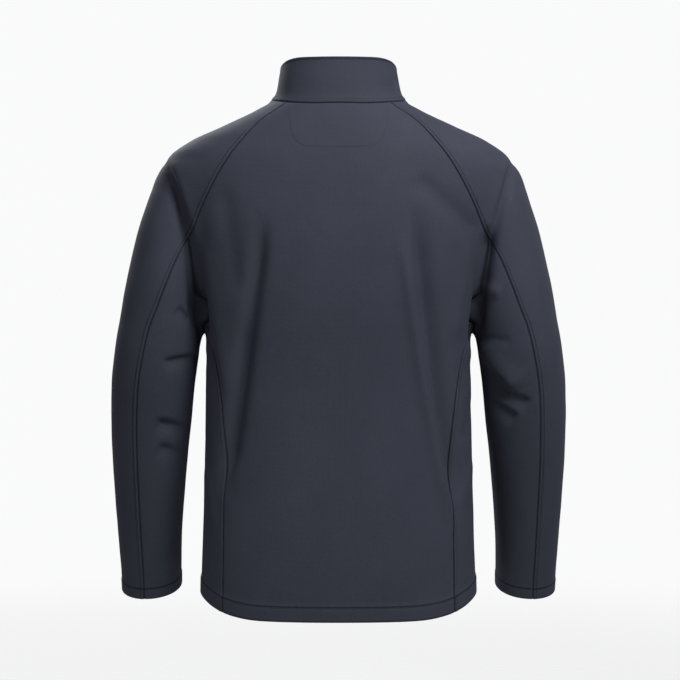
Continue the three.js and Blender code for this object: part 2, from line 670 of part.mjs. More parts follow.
// The slider's own frame: -Y out of the cloth, +Z up the zip, its middle at the origin.
function sliderGeometry(tapeBack) {
  const { wide, long, plate, post, postLong, bridge, arch, rise, bar } = SLIDER;
  const face = -(ZIP.proud + ZIP.gap);
  const top = face - plate;
  const behind = tapeBack + 0.5 + ZIP.gap;
  const parts = [
    block(-wide / 2, top, -long / 2, wide / 2, face, long / 2),
    block(-wide / 2, behind, -long / 2, wide / 2, behind + plate, long / 2),
    block(-post / 2, face - 0.1, long / 2 - postLong, post / 2, behind + 0.1, long / 2),
    block(-bridge / 2, top - rise, -arch / 2, bridge / 2, top - rise + bar, arch / 2),
    block(-bridge / 2, top - rise, -arch / 2, bridge / 2, top + 0.1, -arch / 2 + bar),
    block(-bridge / 2, top - rise, arch / 2 - bar, bridge / 2, top + 0.1, arch / 2),
  ];
  return geometryOf(parts.map(solidOf).reduce((a, b) => a.add(b)));
}

// The pull hangs from its eye's bar, which lies under the slider's arch; its own frame has the bar at the origin.
function pullGeometry() {
  const { wide, long, thick, eye, eyeLong, rim } = PULL;
  const [corner, foot, taper] = [1.4, 2.2, 0.9];
  const outline = new THREE.Shape();
  outline.absarc(wide / 2 - foot - taper, foot - long, foot, -Math.PI / 2, 0);
  outline.absarc(wide / 2 - corner, rim / 2 - corner, corner, 0, Math.PI / 2);
  outline.absarc(corner - wide / 2, rim / 2 - corner, corner, Math.PI / 2, Math.PI);
  outline.absarc(foot + taper - wide / 2, foot - long, foot, Math.PI, 1.5 * Math.PI);
  const plate = new THREE.ExtrudeGeometry(outline, { depth: thick, bevelEnabled: false, curveSegments: 6 });
  plate.translate(0, 0, -thick / 2).rotateX(Math.PI / 2);
  const hole = block(-eye / 2, -thick, -rim / 2 - eyeLong, eye / 2, thick, -rim / 2);
  return geometryOf(solidOf(plate).subtract(solidOf(hole)));
}

function makeZip() {
  const line = zipLine();
  const length = line.slice(1).reduce((sum, s, i) => sum + s.p.distanceTo(line[i].p), 0);
  const sliderAt = length - SLIDER.long / 2 - 3;
  const tapeFace = (s) => -(s.cloth + ZIP.gap);
  const tapeBack = (s) => tapeFace(s) - ZIP.tapeThick;
  const low = lineBetween(line, ZIP.box + ZIP.gap, sliderAt - SLIDER.long / 2);
  const high = lineBetween(line, sliderAt, length);
  for (const [name, side] of [["left", 1], ["right", -1]]) {
    const stations = [...low, ...high];
    const inner = stations.map((s, i) => (i < low.length ? ZIP.slit : SLIDER.post / 2 + ZIP.gap));
    const face = (depth) => stations.map((s, i) => [[inner[i], 0], [ZIP.tape, s.fall]].map(([x, fall]) =>
      s.p.clone().setX(x * side).addScaledVector(s.out, depth(s) - fall)));
    add("zip_tape_" + name, shell(face(tapeFace), face(tapeBack)), tapeMaterial);
  }
  const chain = lineBetween(line, ZIP.box + ZIP.gap, sliderAt + SLIDER.long / 2 - SLIDER.postLong - ZIP.gap);
  add("zip_teeth", strip(chain, -ZIP.teeth, ZIP.teeth, (s) => tapeFace(s) + ZIP.gap, () => ZIP.proud), teethMaterial);
  const foot = lineBetween(line, 0.6, ZIP.box);
  add("zip_box", strip(foot, -3.9, 3.9, (s) => tapeBack(s), () => 0.9), teethMaterial);

  const seat = lineBetween(line, sliderAt, length)[0];
  const lean = Math.atan2(-seat.out.z, -seat.out.y);
  const holder = new THREE.Group();
  holder.position.copy(seat.p);
  holder.rotation.x = lean;
  jacket.add(holder);
  add("zip_slider", sliderGeometry(-tapeBack(seat)), sliderMaterial, holder);
  const pull = add("zip_pull", pullGeometry(), sliderMaterial, holder);
  const top = -(ZIP.proud + ZIP.gap) - SLIDER.plate;
  pull.position.set(0, top - ZIP.gap - PULL.thick / 2 - 0.1, -PULL.seat);
}

const neckBack = makeBack();
makeFront("front_left", sides.left);
makeFront("front_right", sides.right);
makeSleeve("left", sides.left, 1);
makeSleeve("right", sides.right, -1);
makeCollar(neckBack);
makeZip();

export default jacket;
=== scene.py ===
# %% [markdown]
# # A softshell jacket, filled out as worn
# The real jacket is cut from bonded cloth: a smooth woven face, a film and a fleece back, about 1.6 mm
# thick in all. It is too firm to crumple, so it stands in large calm curves with a few long soft folds.
# Each sewn piece here is its own thin shell, bent onto one shared form, so that neighbouring pieces meet
# along the same seam line.

import math

import bmesh
import bpy
import numpy as np
from mathutils import Matrix, Vector, kdtree, noise


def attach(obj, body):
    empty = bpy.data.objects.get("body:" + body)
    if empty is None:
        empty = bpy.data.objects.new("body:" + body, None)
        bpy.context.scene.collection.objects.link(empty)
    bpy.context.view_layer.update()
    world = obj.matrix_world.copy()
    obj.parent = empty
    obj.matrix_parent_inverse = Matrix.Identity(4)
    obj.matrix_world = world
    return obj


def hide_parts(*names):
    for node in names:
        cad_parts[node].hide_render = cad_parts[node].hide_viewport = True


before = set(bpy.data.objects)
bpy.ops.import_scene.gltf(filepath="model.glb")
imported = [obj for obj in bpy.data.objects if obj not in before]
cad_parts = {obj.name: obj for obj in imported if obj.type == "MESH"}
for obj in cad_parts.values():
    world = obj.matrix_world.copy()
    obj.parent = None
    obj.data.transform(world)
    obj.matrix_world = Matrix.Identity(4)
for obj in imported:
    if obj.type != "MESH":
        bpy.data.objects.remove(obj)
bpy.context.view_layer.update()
MM = 0.001

# %% [markdown]
# ## Camera, floor and light
# The photograph looks straight at the back from far away, level with the jacket's middle, so a long lens
# at 2.4 m keeps its mild perspective. The light is soft and comes from above and from the right of the
# picture, with a weaker fill on the left. The front gets lights of its own, because the jacket is looked
# at from all sides.

# %% Camera
CAMERA_AWAY = 2400
CAMERA_LEVEL = -326
CAMERA_ASIDE = -2.1
PICTURE_PX = 680
MM_PER_PX = 1.4
SENSOR = 36
CLIP_NEAR, CLIP_FAR = 0.05, 60


def make_camera():
    data = bpy.data.cameras.new("camera")
    data.sensor_width = SENSOR
    data.lens = SENSOR * CAMERA_AWAY / (MM_PER_PX * PICTURE_PX)
    data.clip_start, data.clip_end = CLIP_NEAR, CLIP_FAR
    camera = bpy.data.objects.new("camera", data)
    camera.location = (CAMERA_ASIDE * MM, CAMERA_AWAY * MM, CAMERA_LEVEL * MM)
    camera.rotation_euler = (math.radians(90), 0, math.radians(180))
    bpy.context.scene.collection.objects.link(camera)
    bpy.context.scene.camera = camera
    print("lens", round(data.lens, 1), "mm")


make_camera()

# %% Light and floor
LIGHTS = {
    # name: (place in metres, size in metres, watts)
    "key": ((-0.78, 1.18, 0.96), 0.8, 30.3),
    "fill": ((1.6, 1.9, 1.1), 1.6, 10),
    "top": ((-0.3, 0.3, 1.6), 1.0, 6),
    "front_key": ((0.95, -1.35, 0.9), 0.8, 27),
    "front_fill": ((-2.0, -1.9, 0.5), 2.0, 7),
}
AIM = Vector((0, 0, -0.3))
AMBIENT = 0.15
FLOOR_LEVEL, FLOOR_RADIUS = -1.05, 3.2
FLOOR_THINS_FROM, FLOOR_OPACITY = 0.3, 0.55


def linear(hex_colour):
    """An sRGB hex colour as Blender's linear colour."""
    parts = [int(hex_colour[i : i + 2], 16) / 255 for i in (1, 3, 5)]
    return [c / 12.92 if c <= 0.04045 else ((c + 0.055) / 1.055) ** 2.4 for c in parts] + [1.0]


def make_lights():
    for name, (place, size, watts) in LIGHTS.items():
        data = bpy.data.lights.new(name, "AREA")
        data.size = size
        data.energy = watts
        light = bpy.data.objects.new(name, data)
        light.location = place
        light.visible_camera = False
        light.rotation_euler = (AIM - Vector(place)).to_track_quat("-Z", "Y").to_euler()
        bpy.context.scene.collection.objects.link(light)


def make_world():
    """A white studio: the camera sees it bright, and it lights the cloth only faintly."""
    world = bpy.data.worlds.new("white studio")
    world.use_nodes = True
    tree = world.node_tree
    background = tree.nodes["Background"]
    background.inputs["Color"].default_value = linear("#fafafb")
    seen_by = tree.nodes.new("ShaderNodeLightPath")
    strength = tree.nodes.new("ShaderNodeMapRange")
    strength.inputs["To Min"].default_value = AMBIENT
    strength.inputs["To Max"].default_value = 1.0
    tree.links.new(seen_by.outputs["Is Camera Ray"], strength.inputs["Value"])
    tree.links.new(strength.outputs["Result"], background.inputs["Strength"])
    bpy.context.scene.world = world
    bpy.context.scene.view_settings.view_transform = "Standard"


def make_floor():
    """A pale floor disc that thins out into the white round it."""
    bm = bmesh.new()
    place = Matrix.Translation((0, 0, FLOOR_LEVEL))
    bmesh.ops.create_circle(bm, cap_ends=True, segments=64, radius=FLOOR_RADIUS, matrix=place)
    mesh = bpy.data.meshes.new("floor")
    bm.to_mesh(mesh)
    bm.free()
    floor = bpy.data.objects.new("floor", mesh)
    paint = bpy.data.materials.new("pale painted floor")
    paint.use_nodes = True
    tree = paint.node_tree
    shader = tree.nodes["Principled BSDF"]
    shader.inputs["Base Color"].default_value = linear("#f6f6f6")
    shader.inputs["Roughness"].default_value = 0.9
    coordinates = tree.nodes.new("ShaderNodeTexCoord")
    away = tree.nodes.new("ShaderNodeVectorMath")
    away.operation = "LENGTH"
    thin = tree.nodes.new("ShaderNodeMapRange")
    thin.interpolation_type = "SMOOTHSTEP"
    thin.inputs["From Min"].default_value = FLOOR_THINS_FROM
    thin.inputs["From Max"].default_value = FLOOR_RADIUS
    thin.inputs["To Min"].default_value = FLOOR_OPACITY
    thin.inputs["To Max"].default_value = 0.0
    tree.links.new(coordinates.outputs["Object"], away.inputs[0])
    tree.links.new(away.outputs["Value"], thin.inputs["Value"])
    tree.links.new(thin.outputs["Result"], shader.inputs["Alpha"])
    mesh.materials.append(paint)
    bpy.context.scene.collection.objects.link(floor)


make_lights()
make_world()
make_floor()
print("lights", len(LIGHTS))

# %% [markdown]
# ## The form
# Body and sleeves are stacks of level sections, each a squared ellipse given by a few sizes, as a dress
# form is drawn. A table row is one section, and a smooth curve runs from row to row. "Level" is a height
# above the raglan seams' top ends, where the model has its origin. Body and sleeve run softly into each
# other, with a tight crease under the arm and a full round at the shoulder.


# %% A table read smoothly
class Table:
    """Rows of named values, from the highest level down, read smoothly between its rows."""

    def __init__(self, columns, rows):
        self.columns = columns.split()
        self.rows = np.array(rows, float)
        before = np.vstack([self.rows[:1], self.rows[:-1]])
        after = np.vstack([self.rows[1:], self.rows[-1:]])
        self.slopes = (after - before) / (after[:, :1] - before[:, :1])

    def at(self, level):
        levels = self.rows[:, 0]
        z = np.clip(level, levels[-1], levels[0])
        i = np.clip(np.searchsorted(-levels, -z, side="right") - 1, 0, len(levels) - 2)
        run = (levels[i + 1] - levels[i])[..., None]
        t = (z - levels[i])[..., None] / run
        a, b = self.rows[i], self.rows[i + 1]
        curve = run * t * (1 - t) * ((1 - t) * self.slopes[i] - t * self.slopes[i + 1])
        return np.moveaxis(a + (b - a) * t * t * (3 - 2 * t) + curve, -1, 0)[1:]


trial = Table("level half", [[1, 2], [0, 4]])
print("halfway between 2 and 4 a table gives", trial.at(np.array([0.5]))[0])

# %% Sections of body and sleeve
BODY = Table("level half back front square", [
    [20, 74, 64, 24.5, 2.0],
    [10, 93, 69.6, 31.8, 2.0],
    [3, 99, 73.3, 37.1, 2.0],
    [-4, 112, 77, 42.4, 2.02],
    [-11, 125, 80.8, 47.8, 2.04],
    [-18, 140, 84.4, 52.9, 2.06],
    [-25, 155, 87.6, 57.8, 2.09],
    [-32, 170, 90.5, 62.5, 2.12],
    [-39, 186, 93.2, 67.1, 2.14],
    [-46, 201, 95.7, 71.7, 2.17],
    [-53, 213, 98, 76.2, 2.19],
    [-60, 224, 100.2, 80.6, 2.21],
    [-67, 233, 102.3, 84.7, 2.23],
    [-76, 239, 104.6, 89.4, 2.26],
    [-88, 241, 107.2, 95.1, 2.3],
    [-100, 239, 109.4, 100.3, 2.34],
    [-118, 233, 112.1, 107, 2.4],
    [-140, 225, 114.7, 113.4, 2.47],
    [-175, 213, 117.6, 122, 2.54],
    [-215, 201, 119.2, 130, 2.59],
    [-260, 193, 118.6, 135, 2.6],
    [-300, 188, 115.8, 136.6, 2.6],
    [-340, 185, 112.2, 136, 2.6],
    [-390, 185, 109.4, 133.4, 2.6],
    [-450, 185.5, 109, 131, 2.6],
    [-520, 187, 112, 130, 2.6],
    [-600, 189, 116.8, 131, 2.6],
    [-660, 191, 119.8, 132, 2.6],
    [-720, 192, 121, 132, 2.6],
])
SLEEVE = Table("level across along half deep blend", [
    [-84, 195, 3, 43, 46, 32],
    [-92, 198, 3, 50, 53, 30],
    [-104, 201, 2, 56, 59, 27],
    [-118, 204, 2, 58, 63, 23],
    [-136, 208, 1, 60, 66, 20],
    [-174, 216, 0, 64, 69, 15],
    [-216, 226, 0, 64, 70, 11],
    [-258, 236, 0, 63, 70, 8],
    [-300, 245, -1, 61, 68, 6],
    [-321, 250, -2, 60, 67, 6],
    [-341, 254, -3, 59, 66, 6],
    [-377, 259, -8, 58.5, 64, 6],
    [-405, 261.5, -13, 57.5, 62, 6],
    [-433, 263.5, -19, 56.5, 60, 6],
    [-490, 267, -32, 53, 57, 6],
    [-548, 269, -46, 49, 53.5, 6],
    [-610, 270, -61, 45, 49.5, 6],
    [-665, 269.5, -74, 43, 46.5, 6],
    [-720, 269, -86, 42, 45, 6],
])
SLEEVE_SQUARE = 2.1
for stack in (BODY, SLEEVE):
    print(len(stack.rows), "sections of", ", ".join(stack.columns))

# %% How far a point lies off the form
# low in the armhole, between these levels, a piece leaves its own side of the crease for the whole form
CREASE_OPENS = -285, -255


def fade(low, high, value):
    """0 below low, 1 above high, and a smooth rise between them."""
    t = np.clip((value - low) / (high - low), 0, 1)
    return t * t * (3 - 2 * t)


def outside(x, y, half, deep, square):
    """How far points lie outside a squared ellipse, measured from its centre."""
    share = ((np.abs(x) / half) ** square + (np.abs(y) / deep) ** square) ** (1 / square)
    return np.hypot(x, y) * (1 - 1 / np.maximum(share, 1e-3))


def body_gap(p):
    """How far points lie outside the body alone."""
    half, back, front, square = BODY.at(p[:, 2])
    return outside(p[:, 0], p[:, 1], half, np.where(p[:, 1] > 0, back, front), square)


def sleeve_gap(p):
    """How far points lie outside a sleeve alone, on either side."""
    across, along, half, deep, _ = SLEEVE.at(p[:, 2])
    above = np.maximum(p[:, 2] - SLEEVE.rows[0, 0], 0)
    return outside(np.abs(p[:, 0]) - across, p[:, 1] - along, half, deep, SLEEVE_SQUARE) + 2 * above


def form(p):
    """How far points lie outside body and sleeves, run softly into each other."""
    a, b = body_gap(p), sleeve_gap(p)
    blend = SLEEVE.at(p[:, 2])[4]
    near = np.maximum(blend - np.abs(a - b), 0) / blend
    return np.minimum(a, b) - near * near * blend / 4


def one_side(p, own, other):
    """The form, but low in the armhole only one side of the crease, carried on past it."""
    a, b = own(p), other(p)
    blend = SLEEVE.at(p[:, 2])[4]
    near = 1 - np.clip((b - a) / blend, 0, 1)
    above = fade(*CREASE_OPENS, p[:, 2])
    return above * form(p) + (1 - above) * (a - near * near * blend / 4)


def body_side(p):
    return one_side(p, body_gap, sleeve_gap)


def sleeve_side(p):
    return one_side(p, sleeve_gap, body_gap)


print("form: body half width under the arm", round(float(BODY.at(np.array([-300.0]))[0][0])), "mm")

# %% Points laid on the form
ALL_AXES = (0, 1, 2)
SLOPE_STEP = 0.4
LEAST_SLOPE, LONGEST_MOVE = 0.05, 25
SEEN_FROM, SEEN_TO, SEEN_STEP = 220, -100, 4.0
HALVINGS = 20
CREASE_ROUNDS = 24


def slope_of(field, p, axes=ALL_AXES):
    """A field's slope at each point, along some axes."""
    slope = np.zeros_like(p)
    for axis in axes:
        aside = np.zeros(3)
        aside[axis] = SLOPE_STEP
        slope[:, axis] = (field(p + aside) - field(p - aside)) / (2 * SLOPE_STEP)
    return slope


def settle(p, field=form, axes=ALL_AXES, rounds=8):
    """Points moved onto a field's zero surface."""
    p = np.array(p, float)
    for _ in range(rounds):
        slope = slope_of(field, p, axes)
        move = field(p) / np.maximum((slope**2).sum(1), LEAST_SLOPE)
        p -= slope * np.clip(move, -LONGEST_MOVE, LONGEST_MOVE)[:, None]
    return p


def normals_at(p):
    """The way out of the form at each point."""
    slope = slope_of(form, p)
    return slope / np.linalg.norm(slope, axis=1, keepdims=True)


def seen(rows, facing):
    """The points on the form at (x, level), seen from behind (facing 1) or from in front (facing -1)."""
    rows = np.array(rows, float)
    depths = np.arange(SEEN_FROM, SEEN_TO, -SEEN_STEP)
    n, m = len(rows), len(depths)
    tried = np.empty((n, m, 3))
    tried[:, :, 0], tried[:, :, 2] = rows[:, :1], rows[:, 1:]
    tried[:, :, 1] = facing * depths
    inside = form(tried.reshape(-1, 3)).reshape(n, m) <= 0
    deep = depths[np.argmax(inside, axis=1)]
    out = deep + SEEN_STEP
    for _ in range(HALVINGS):
        middle = (out + deep) / 2
        is_out = form(np.column_stack([rows[:, 0], facing * middle, rows[:, 1]])) > 0
        out, deep = np.where(is_out, middle, out), np.where(is_out, deep, middle)
    return np.column_stack([rows[:, 0], facing * out, rows[:, 1]])


def in_crease(p):
    """Points moved to the crease between sleeve and body."""
    p = np.array(p, float)
    for _ in range(CREASE_ROUNDS):
        p = settle(p, lambda q: body_gap(q) - sleeve_gap(q), rounds=1)
        p = settle(p, rounds=2)
    return p


print("the back's middle at level -300 lies", seen([[0, -300]], 1)[0].round(1))

# %% [markdown]
# ## Folds
# Firm cloth folds only where the body and arms push it: long soft hollows beside the shoulder blades,
# short creases inside the elbows, and a hollow that runs from each armhole up to the shoulder. Each one
# is set from the photograph as a line with a width and a height, and the same kinds are placed on
# the hidden front. They fade out towards their ends and sides. A faint unevenness, a few tenths of a
# millimetre, keeps the large faces from looking machined.

# %% Folds
FOLDS = [
    # facing, x0, level0, x1, level1, bow, left, right, out
    # left and right are its widths on either side of its run, which the bow bends
    # behind: down the back beside the shoulder blades
    [1, 98, -150, 160, -550, 2, 11, 10, -12],
    [1, 124, -290, 150, -515, 3, 8, 14, -4],
    [1, 158, -110, 132, -280, 0, 14, 14, -3],
    [1, 186, -180, 150, -410, 0, 5, 14, 3.5],
    [1, -99, -140, -166, -575, -6, 6.5, 16, -12.5],
    [1, -82, -170, -158, -600, -5, 9, 6, 5],
    [1, -194, -186, -100, -102, 0, 12, 16, -3.5],
    [1, -178, -190, -158, -330, 0, 9, 9, 2.5],
    # behind: from the armholes up to the shoulders
    [1, 262, -36, 184, -345, 13, 28, 8, -9.5],
    [1, 242, -76, 186, -335, 14, 10, 6, -11],
    [1, -247, -60, -196, -232, -2, 3.5, 9, -7],
    [1, -203, -165, -181, -342, 0, 4, 11, -16],
    [1, -224, -262, -186, -255, 0, 9, 9, 2.8],
    [1, -238, -328, -188, -322, 0, 5, 7, -1.6],
    # behind: the body's sides, low down
    [1, 184, -500, 168, -585, 0, 6, 6, 1.8],
    [1, -186, -405, -170, -468, 0, 7, 7, -2.4],
    [1, -186, -490, -166, -560, 0, 6, 6, 2],
    # behind: the left sleeve, creases by the body and then the elbow
    [1, 197, -301, 219, -282, 0, 4, 8, -3.5],
    [1, 178, -347, 242, -357, -1.5, 3.5, 11, -5],
    [1, 184, -467, 255, -437, -4.5, 5, 14, -7.5],
    [1, 188, -511, 252, -471, -5, 5, 14, -7.5],
    [1, 226, -640, 258, -612, 0, 9, 9, -1.8],
    [1, 236, -584, 270, -524, 0, 8, 8, 2],
    # behind: the right sleeve, creases by the body and then the elbow
    [1, -248, -398, -190, -331, 0, 16, 6, 5.5],
    [1, -234, -406, -184, -348, 0, 5, 16, -6],
    [1, -268, -412, -200, -391, 0, 4, 14, -5.5],
    [1, -248, -434, -204, -409, 0, 4, 13, -5.5],
    [1, -232, -600, -222, -500, 0, 9, 9, -2],
    [1, -268, -552, -234, -612, 0, 8, 8, 2],
    [1, -272, -650, -240, -656, 0, 5, 5, -1.8],
    # in front: drag from the armholes
    [-1, 248, -84, 192, -320, 13, 13, 6, -8],
    [-1, -248, -84, -192, -320, -13, 6, 13, -8],
    [-1, 60, -230, 134, -312, 6, 14, 24, -5],
    [-1, 84, -200, 150, -268, 4, 12, 16, 2.6],
    [-1, -134, -320, -66, -240, 6, 24, 14, -5],
    [-1, -150, -276, -90, -216, 4, 14, 12, 2.4],
    # in front: the sleeves' elbows
    [-1, 200, -380, 286, -362, 4, 4.5, 12, -6],
    [-1, 206, -424, 280, -398, 3, 4.5, 12, -5],
    [-1, 214, -470, 270, -446, 3, 5, 12, -3.6],
    [-1, -286, -388, -200, -370, 4, 4.5, 12, -6],
    [-1, -280, -430, -208, -408, 3, 4.5, 12, -5],
    [-1, -270, -476, -214, -452, 3, 5, 12, -3.4],
    # in front: long soft hollows down to the hem
    [-1, 40, -400, 66, -610, 6, 22, 16, -3.2],
    [-1, -52, -420, -70, -620, -6, 16, 22, -3.4],
    [-1, 150, -330, 120, -500, -5, 9, 16, -4.5],
    [-1, -146, -340, -118, -500, 5, 16, 9, -4],
]
TAPER = 0.2
# a fold behind runs out over this stretch of depth as the cloth turns to the front, and the other way about
ROUND_THE_SIDE = -10, 45
UNEVEN, UNEVEN_RUN = 0.3, 46
FINE_SHARE, FINE_RUN = 0.5, 0.4 * UNEVEN_RUN


def fold_lift(p):
    """How far the folds lift the cloth at each point."""
    lift = np.zeros(len(p))
    for facing, x0, level0, x1, level1, bow, left, right, out in FOLDS:
        run_x, run_z = x1 - x0, level1 - level0
        long = math.hypot(run_x, run_z)
        t = ((p[:, 0] - x0) * run_x + (p[:, 2] - level0) * run_z) / long**2
        swell = np.sin(math.pi * np.clip(t, 0, 1))
        aside = ((p[:, 0] - x0) * run_z - (p[:, 2] - level0) * run_x) / long - bow * swell
        wide = np.where(aside > 0, right, left)
        ends = fade(0, TAPER, t) * fade(0, TAPER, 1 - t)
        lift += out * ends * fade(*ROUND_THE_SIDE, p[:, 1] * facing) * np.exp(-((aside / wide) ** 2))
    return lift


def unevenness(p):
    """The faint waviness of the cloth at each point."""
    places = [Vector(q) for q in p]
    soft = [noise.noise(q / UNEVEN_RUN) + FINE_SHARE * noise.noise(q / FINE_RUN) for q in places]
    return UNEVEN * np.array(soft)


print("folds", len(FOLDS))

# %% [markdown]
# ## Seam lines
# A seam is drawn as a few places on the form, seen from behind or in front. A smooth curve joins them and
# every point of it is laid on the form. Two pieces that share a seam take the same curve, as two cut
# edges sewn together do. The curve keeps one point a millimetre, which is fine enough for the stitching
# too.

# %% Places of the seams
ZIP_EDGE = 4.5
RAGLAN_BACK = [[69, 2], [104.5, -25], [131, -55], [154, -87], [174.5, -123], [191, -158], [203, -187]]
RAGLAN_FRONT = [[72, -31], [102, -62], [130, -98], [153, -134], [171, -168], [184, -202]]
SLEEVE_BACK = [
    [218.5, -212], [235, -250], [246.5, -280], [258, -309], [267, -345], [274.6, -386], [278.5, -435],
    [279.6, -487], [279, -552], [277.4, -625], [277, -660],
]
SIDE_BACK = [
    [156, -690], [155.7, -538], [156, -490], [157.5, -444], [160.5, -399], [165.5, -366], [172, -341],
]
SCYE = [[195, -222], [190, -258], [185.5, -292]]
SIDE_TOP = [185, 20, -308]
UNDERARM = [186, 0, -316]
SCYE_FRONT = [[186, -34, -290], [188, -50, -250]]
INNER_SEAM_SIDE = -0.97
INNER_LEVELS = [-345, -390, -450, -520, -600]
FRONT_LEVELS = [-600, -500, -400, -300, -220, -160, -110]
HEM_TURNS = [0.62, 0.3, -0.05, -0.4, -0.75, -1.1]
CUFF_OUTER_TURNS = [0.6, 0, -0.7, -1.4, -2.1]
CUFF_INNER_TURNS = [1.7, 2.4]
NECK_SIDE = [96, 0, 9]
NECK_CURVE = [42, -72, -50]
NECK_FOOT = [-84, -66]
HEM_LEVEL = -672
HEM_DROP = Table("level drop", [
    [121, 30], [108, 29], [96, 25.4], [88, 22.3], [73, 16], [58, 10], [39, 5], [20, 2], [0, 0], [-132, 6],
])
CUFF_LEVEL, CUFF_LEAN, CUFF_TIP = -679, 0.32, 0.06
NECK_SEAM = Table("level height", [
    [74, -4], [62, -1.5], [40, 3], [0, 8], [-24, -5], [-40, -16], [-57, -32], [-72, -48], [-80.5, -60],
    [-85, -66.5],
])
HEM_DEEP, CUFF_DEEP, STEP_RUN = 20, 15, 2.5
print("seam places", sum(map(len, (RAGLAN_BACK, RAGLAN_FRONT, SLEEVE_BACK, SIDE_BACK, SCYE, SCYE_FRONT))))

# %% Hem, cuff and neck edges
EDGE_ROUNDS = 8


def hem_level(p):
    """The hem drops behind, over the seat."""
    return HEM_LEVEL - HEM_DROP.at(p[:, 1])[0]


def cuff_level(p):
    """The cuff is cut square to the forearm, which leans forward."""
    across, along, *_ = SLEEVE.at(p[:, 2])
    return CUFF_LEVEL - CUFF_LEAN * (p[:, 1] - along) - CUFF_TIP * (np.abs(p[:, 0]) - across)


def neck_level(p):
    return NECK_SEAM.at(p[:, 1])[0]


def on_edge(p, level_at, field):
    """Points moved onto an edge whose level depends on where it is."""
    p = np.array(p, float)
    for _ in range(EDGE_ROUNDS):
        p[:, 2] = level_at(p)
        p = settle(p, field, axes=(0, 1), rounds=4)
    return p


def on_hem(p, above=0):
    return on_edge(p, lambda q: hem_level(q) + above, body_gap)


def on_cuff(p, above=0):
    return on_edge(p, lambda q: cuff_level(q) + above, sleeve_gap)


def on_neck(p):
    return on_edge(p, neck_level, form)


print("the hem's middle behind lies", on_hem(seen([[0, HEM_LEVEL]], 1))[0].round(1))

# %% A smooth line on the form
CURVE_STEPS = 40


def lengths(line):
    """How far along a line each of its points lies."""
    return np.concatenate([[0], np.cumsum(np.linalg.norm(np.diff(line, axis=0), axis=1))])


def along(line, places):
    """Points at given lengths along a line."""
    s = lengths(line)
    return np.column_stack([np.interp(places, s, line[:, k]) for k in range(3)])


def seam(points, place):
    """A smooth line through the points with a point a millimetre, laid on its surface."""
    p = np.array(points, float)
    p = np.vstack([2 * p[0] - p[1], p, 2 * p[-1] - p[-2]])
    t = np.linspace(0, 1, CURVE_STEPS, endpoint=False)[:, None]
    pieces = []
    for a, b, c, d in zip(p, p[1:], p[2:], p[3:]):
        ta, tb, tc = (math.sqrt(np.linalg.norm(v)) for v in (b - a, c - b, d - c))
        m1 = ((b - a) / ta - (c - a) / (ta + tb) + (c - b) / tb) * tb
        m2 = ((c - b) / tb - (d - b) / (tb + tc) + (d - c) / tc) * tb
        pieces.append(
            (2 * t**3 - 3 * t**2 + 1) * b + (t**3 - 2 * t**2 + t) * m1
            + (3 * t**2 - 2 * t**3) * c + (t**3 - t**2) * m2
        )
    line = np.vstack([*pieces, p[-2:-1]])
    count = int(lengths(line)[-1]) + 1
    line = along(line, np.linspace(0, lengths(line)[-1], count))
    line[1:-1] = place(line[1:-1])
    return line


def cuff_line(foot, inner_foot, turns, side):
    """Part of a cuff's edge, from the sleeve's seam behind to its inner seam."""
    turns = np.array(turns)
    level = np.full(len(turns), CUFF_LEVEL, float)
    across, centre, half, deep, _ = SLEEVE.at(level)
    ring = np.column_stack([(across + half * np.cos(turns)) * side, centre + deep * np.sin(turns), level])
    return seam(np.vstack([foot, on_cuff(ring), inner_foot]), on_cuff)


print("a raglan seam behind is", round(lengths(seam(seen(RAGLAN_BACK, 1), settle))[-1]), "mm long")

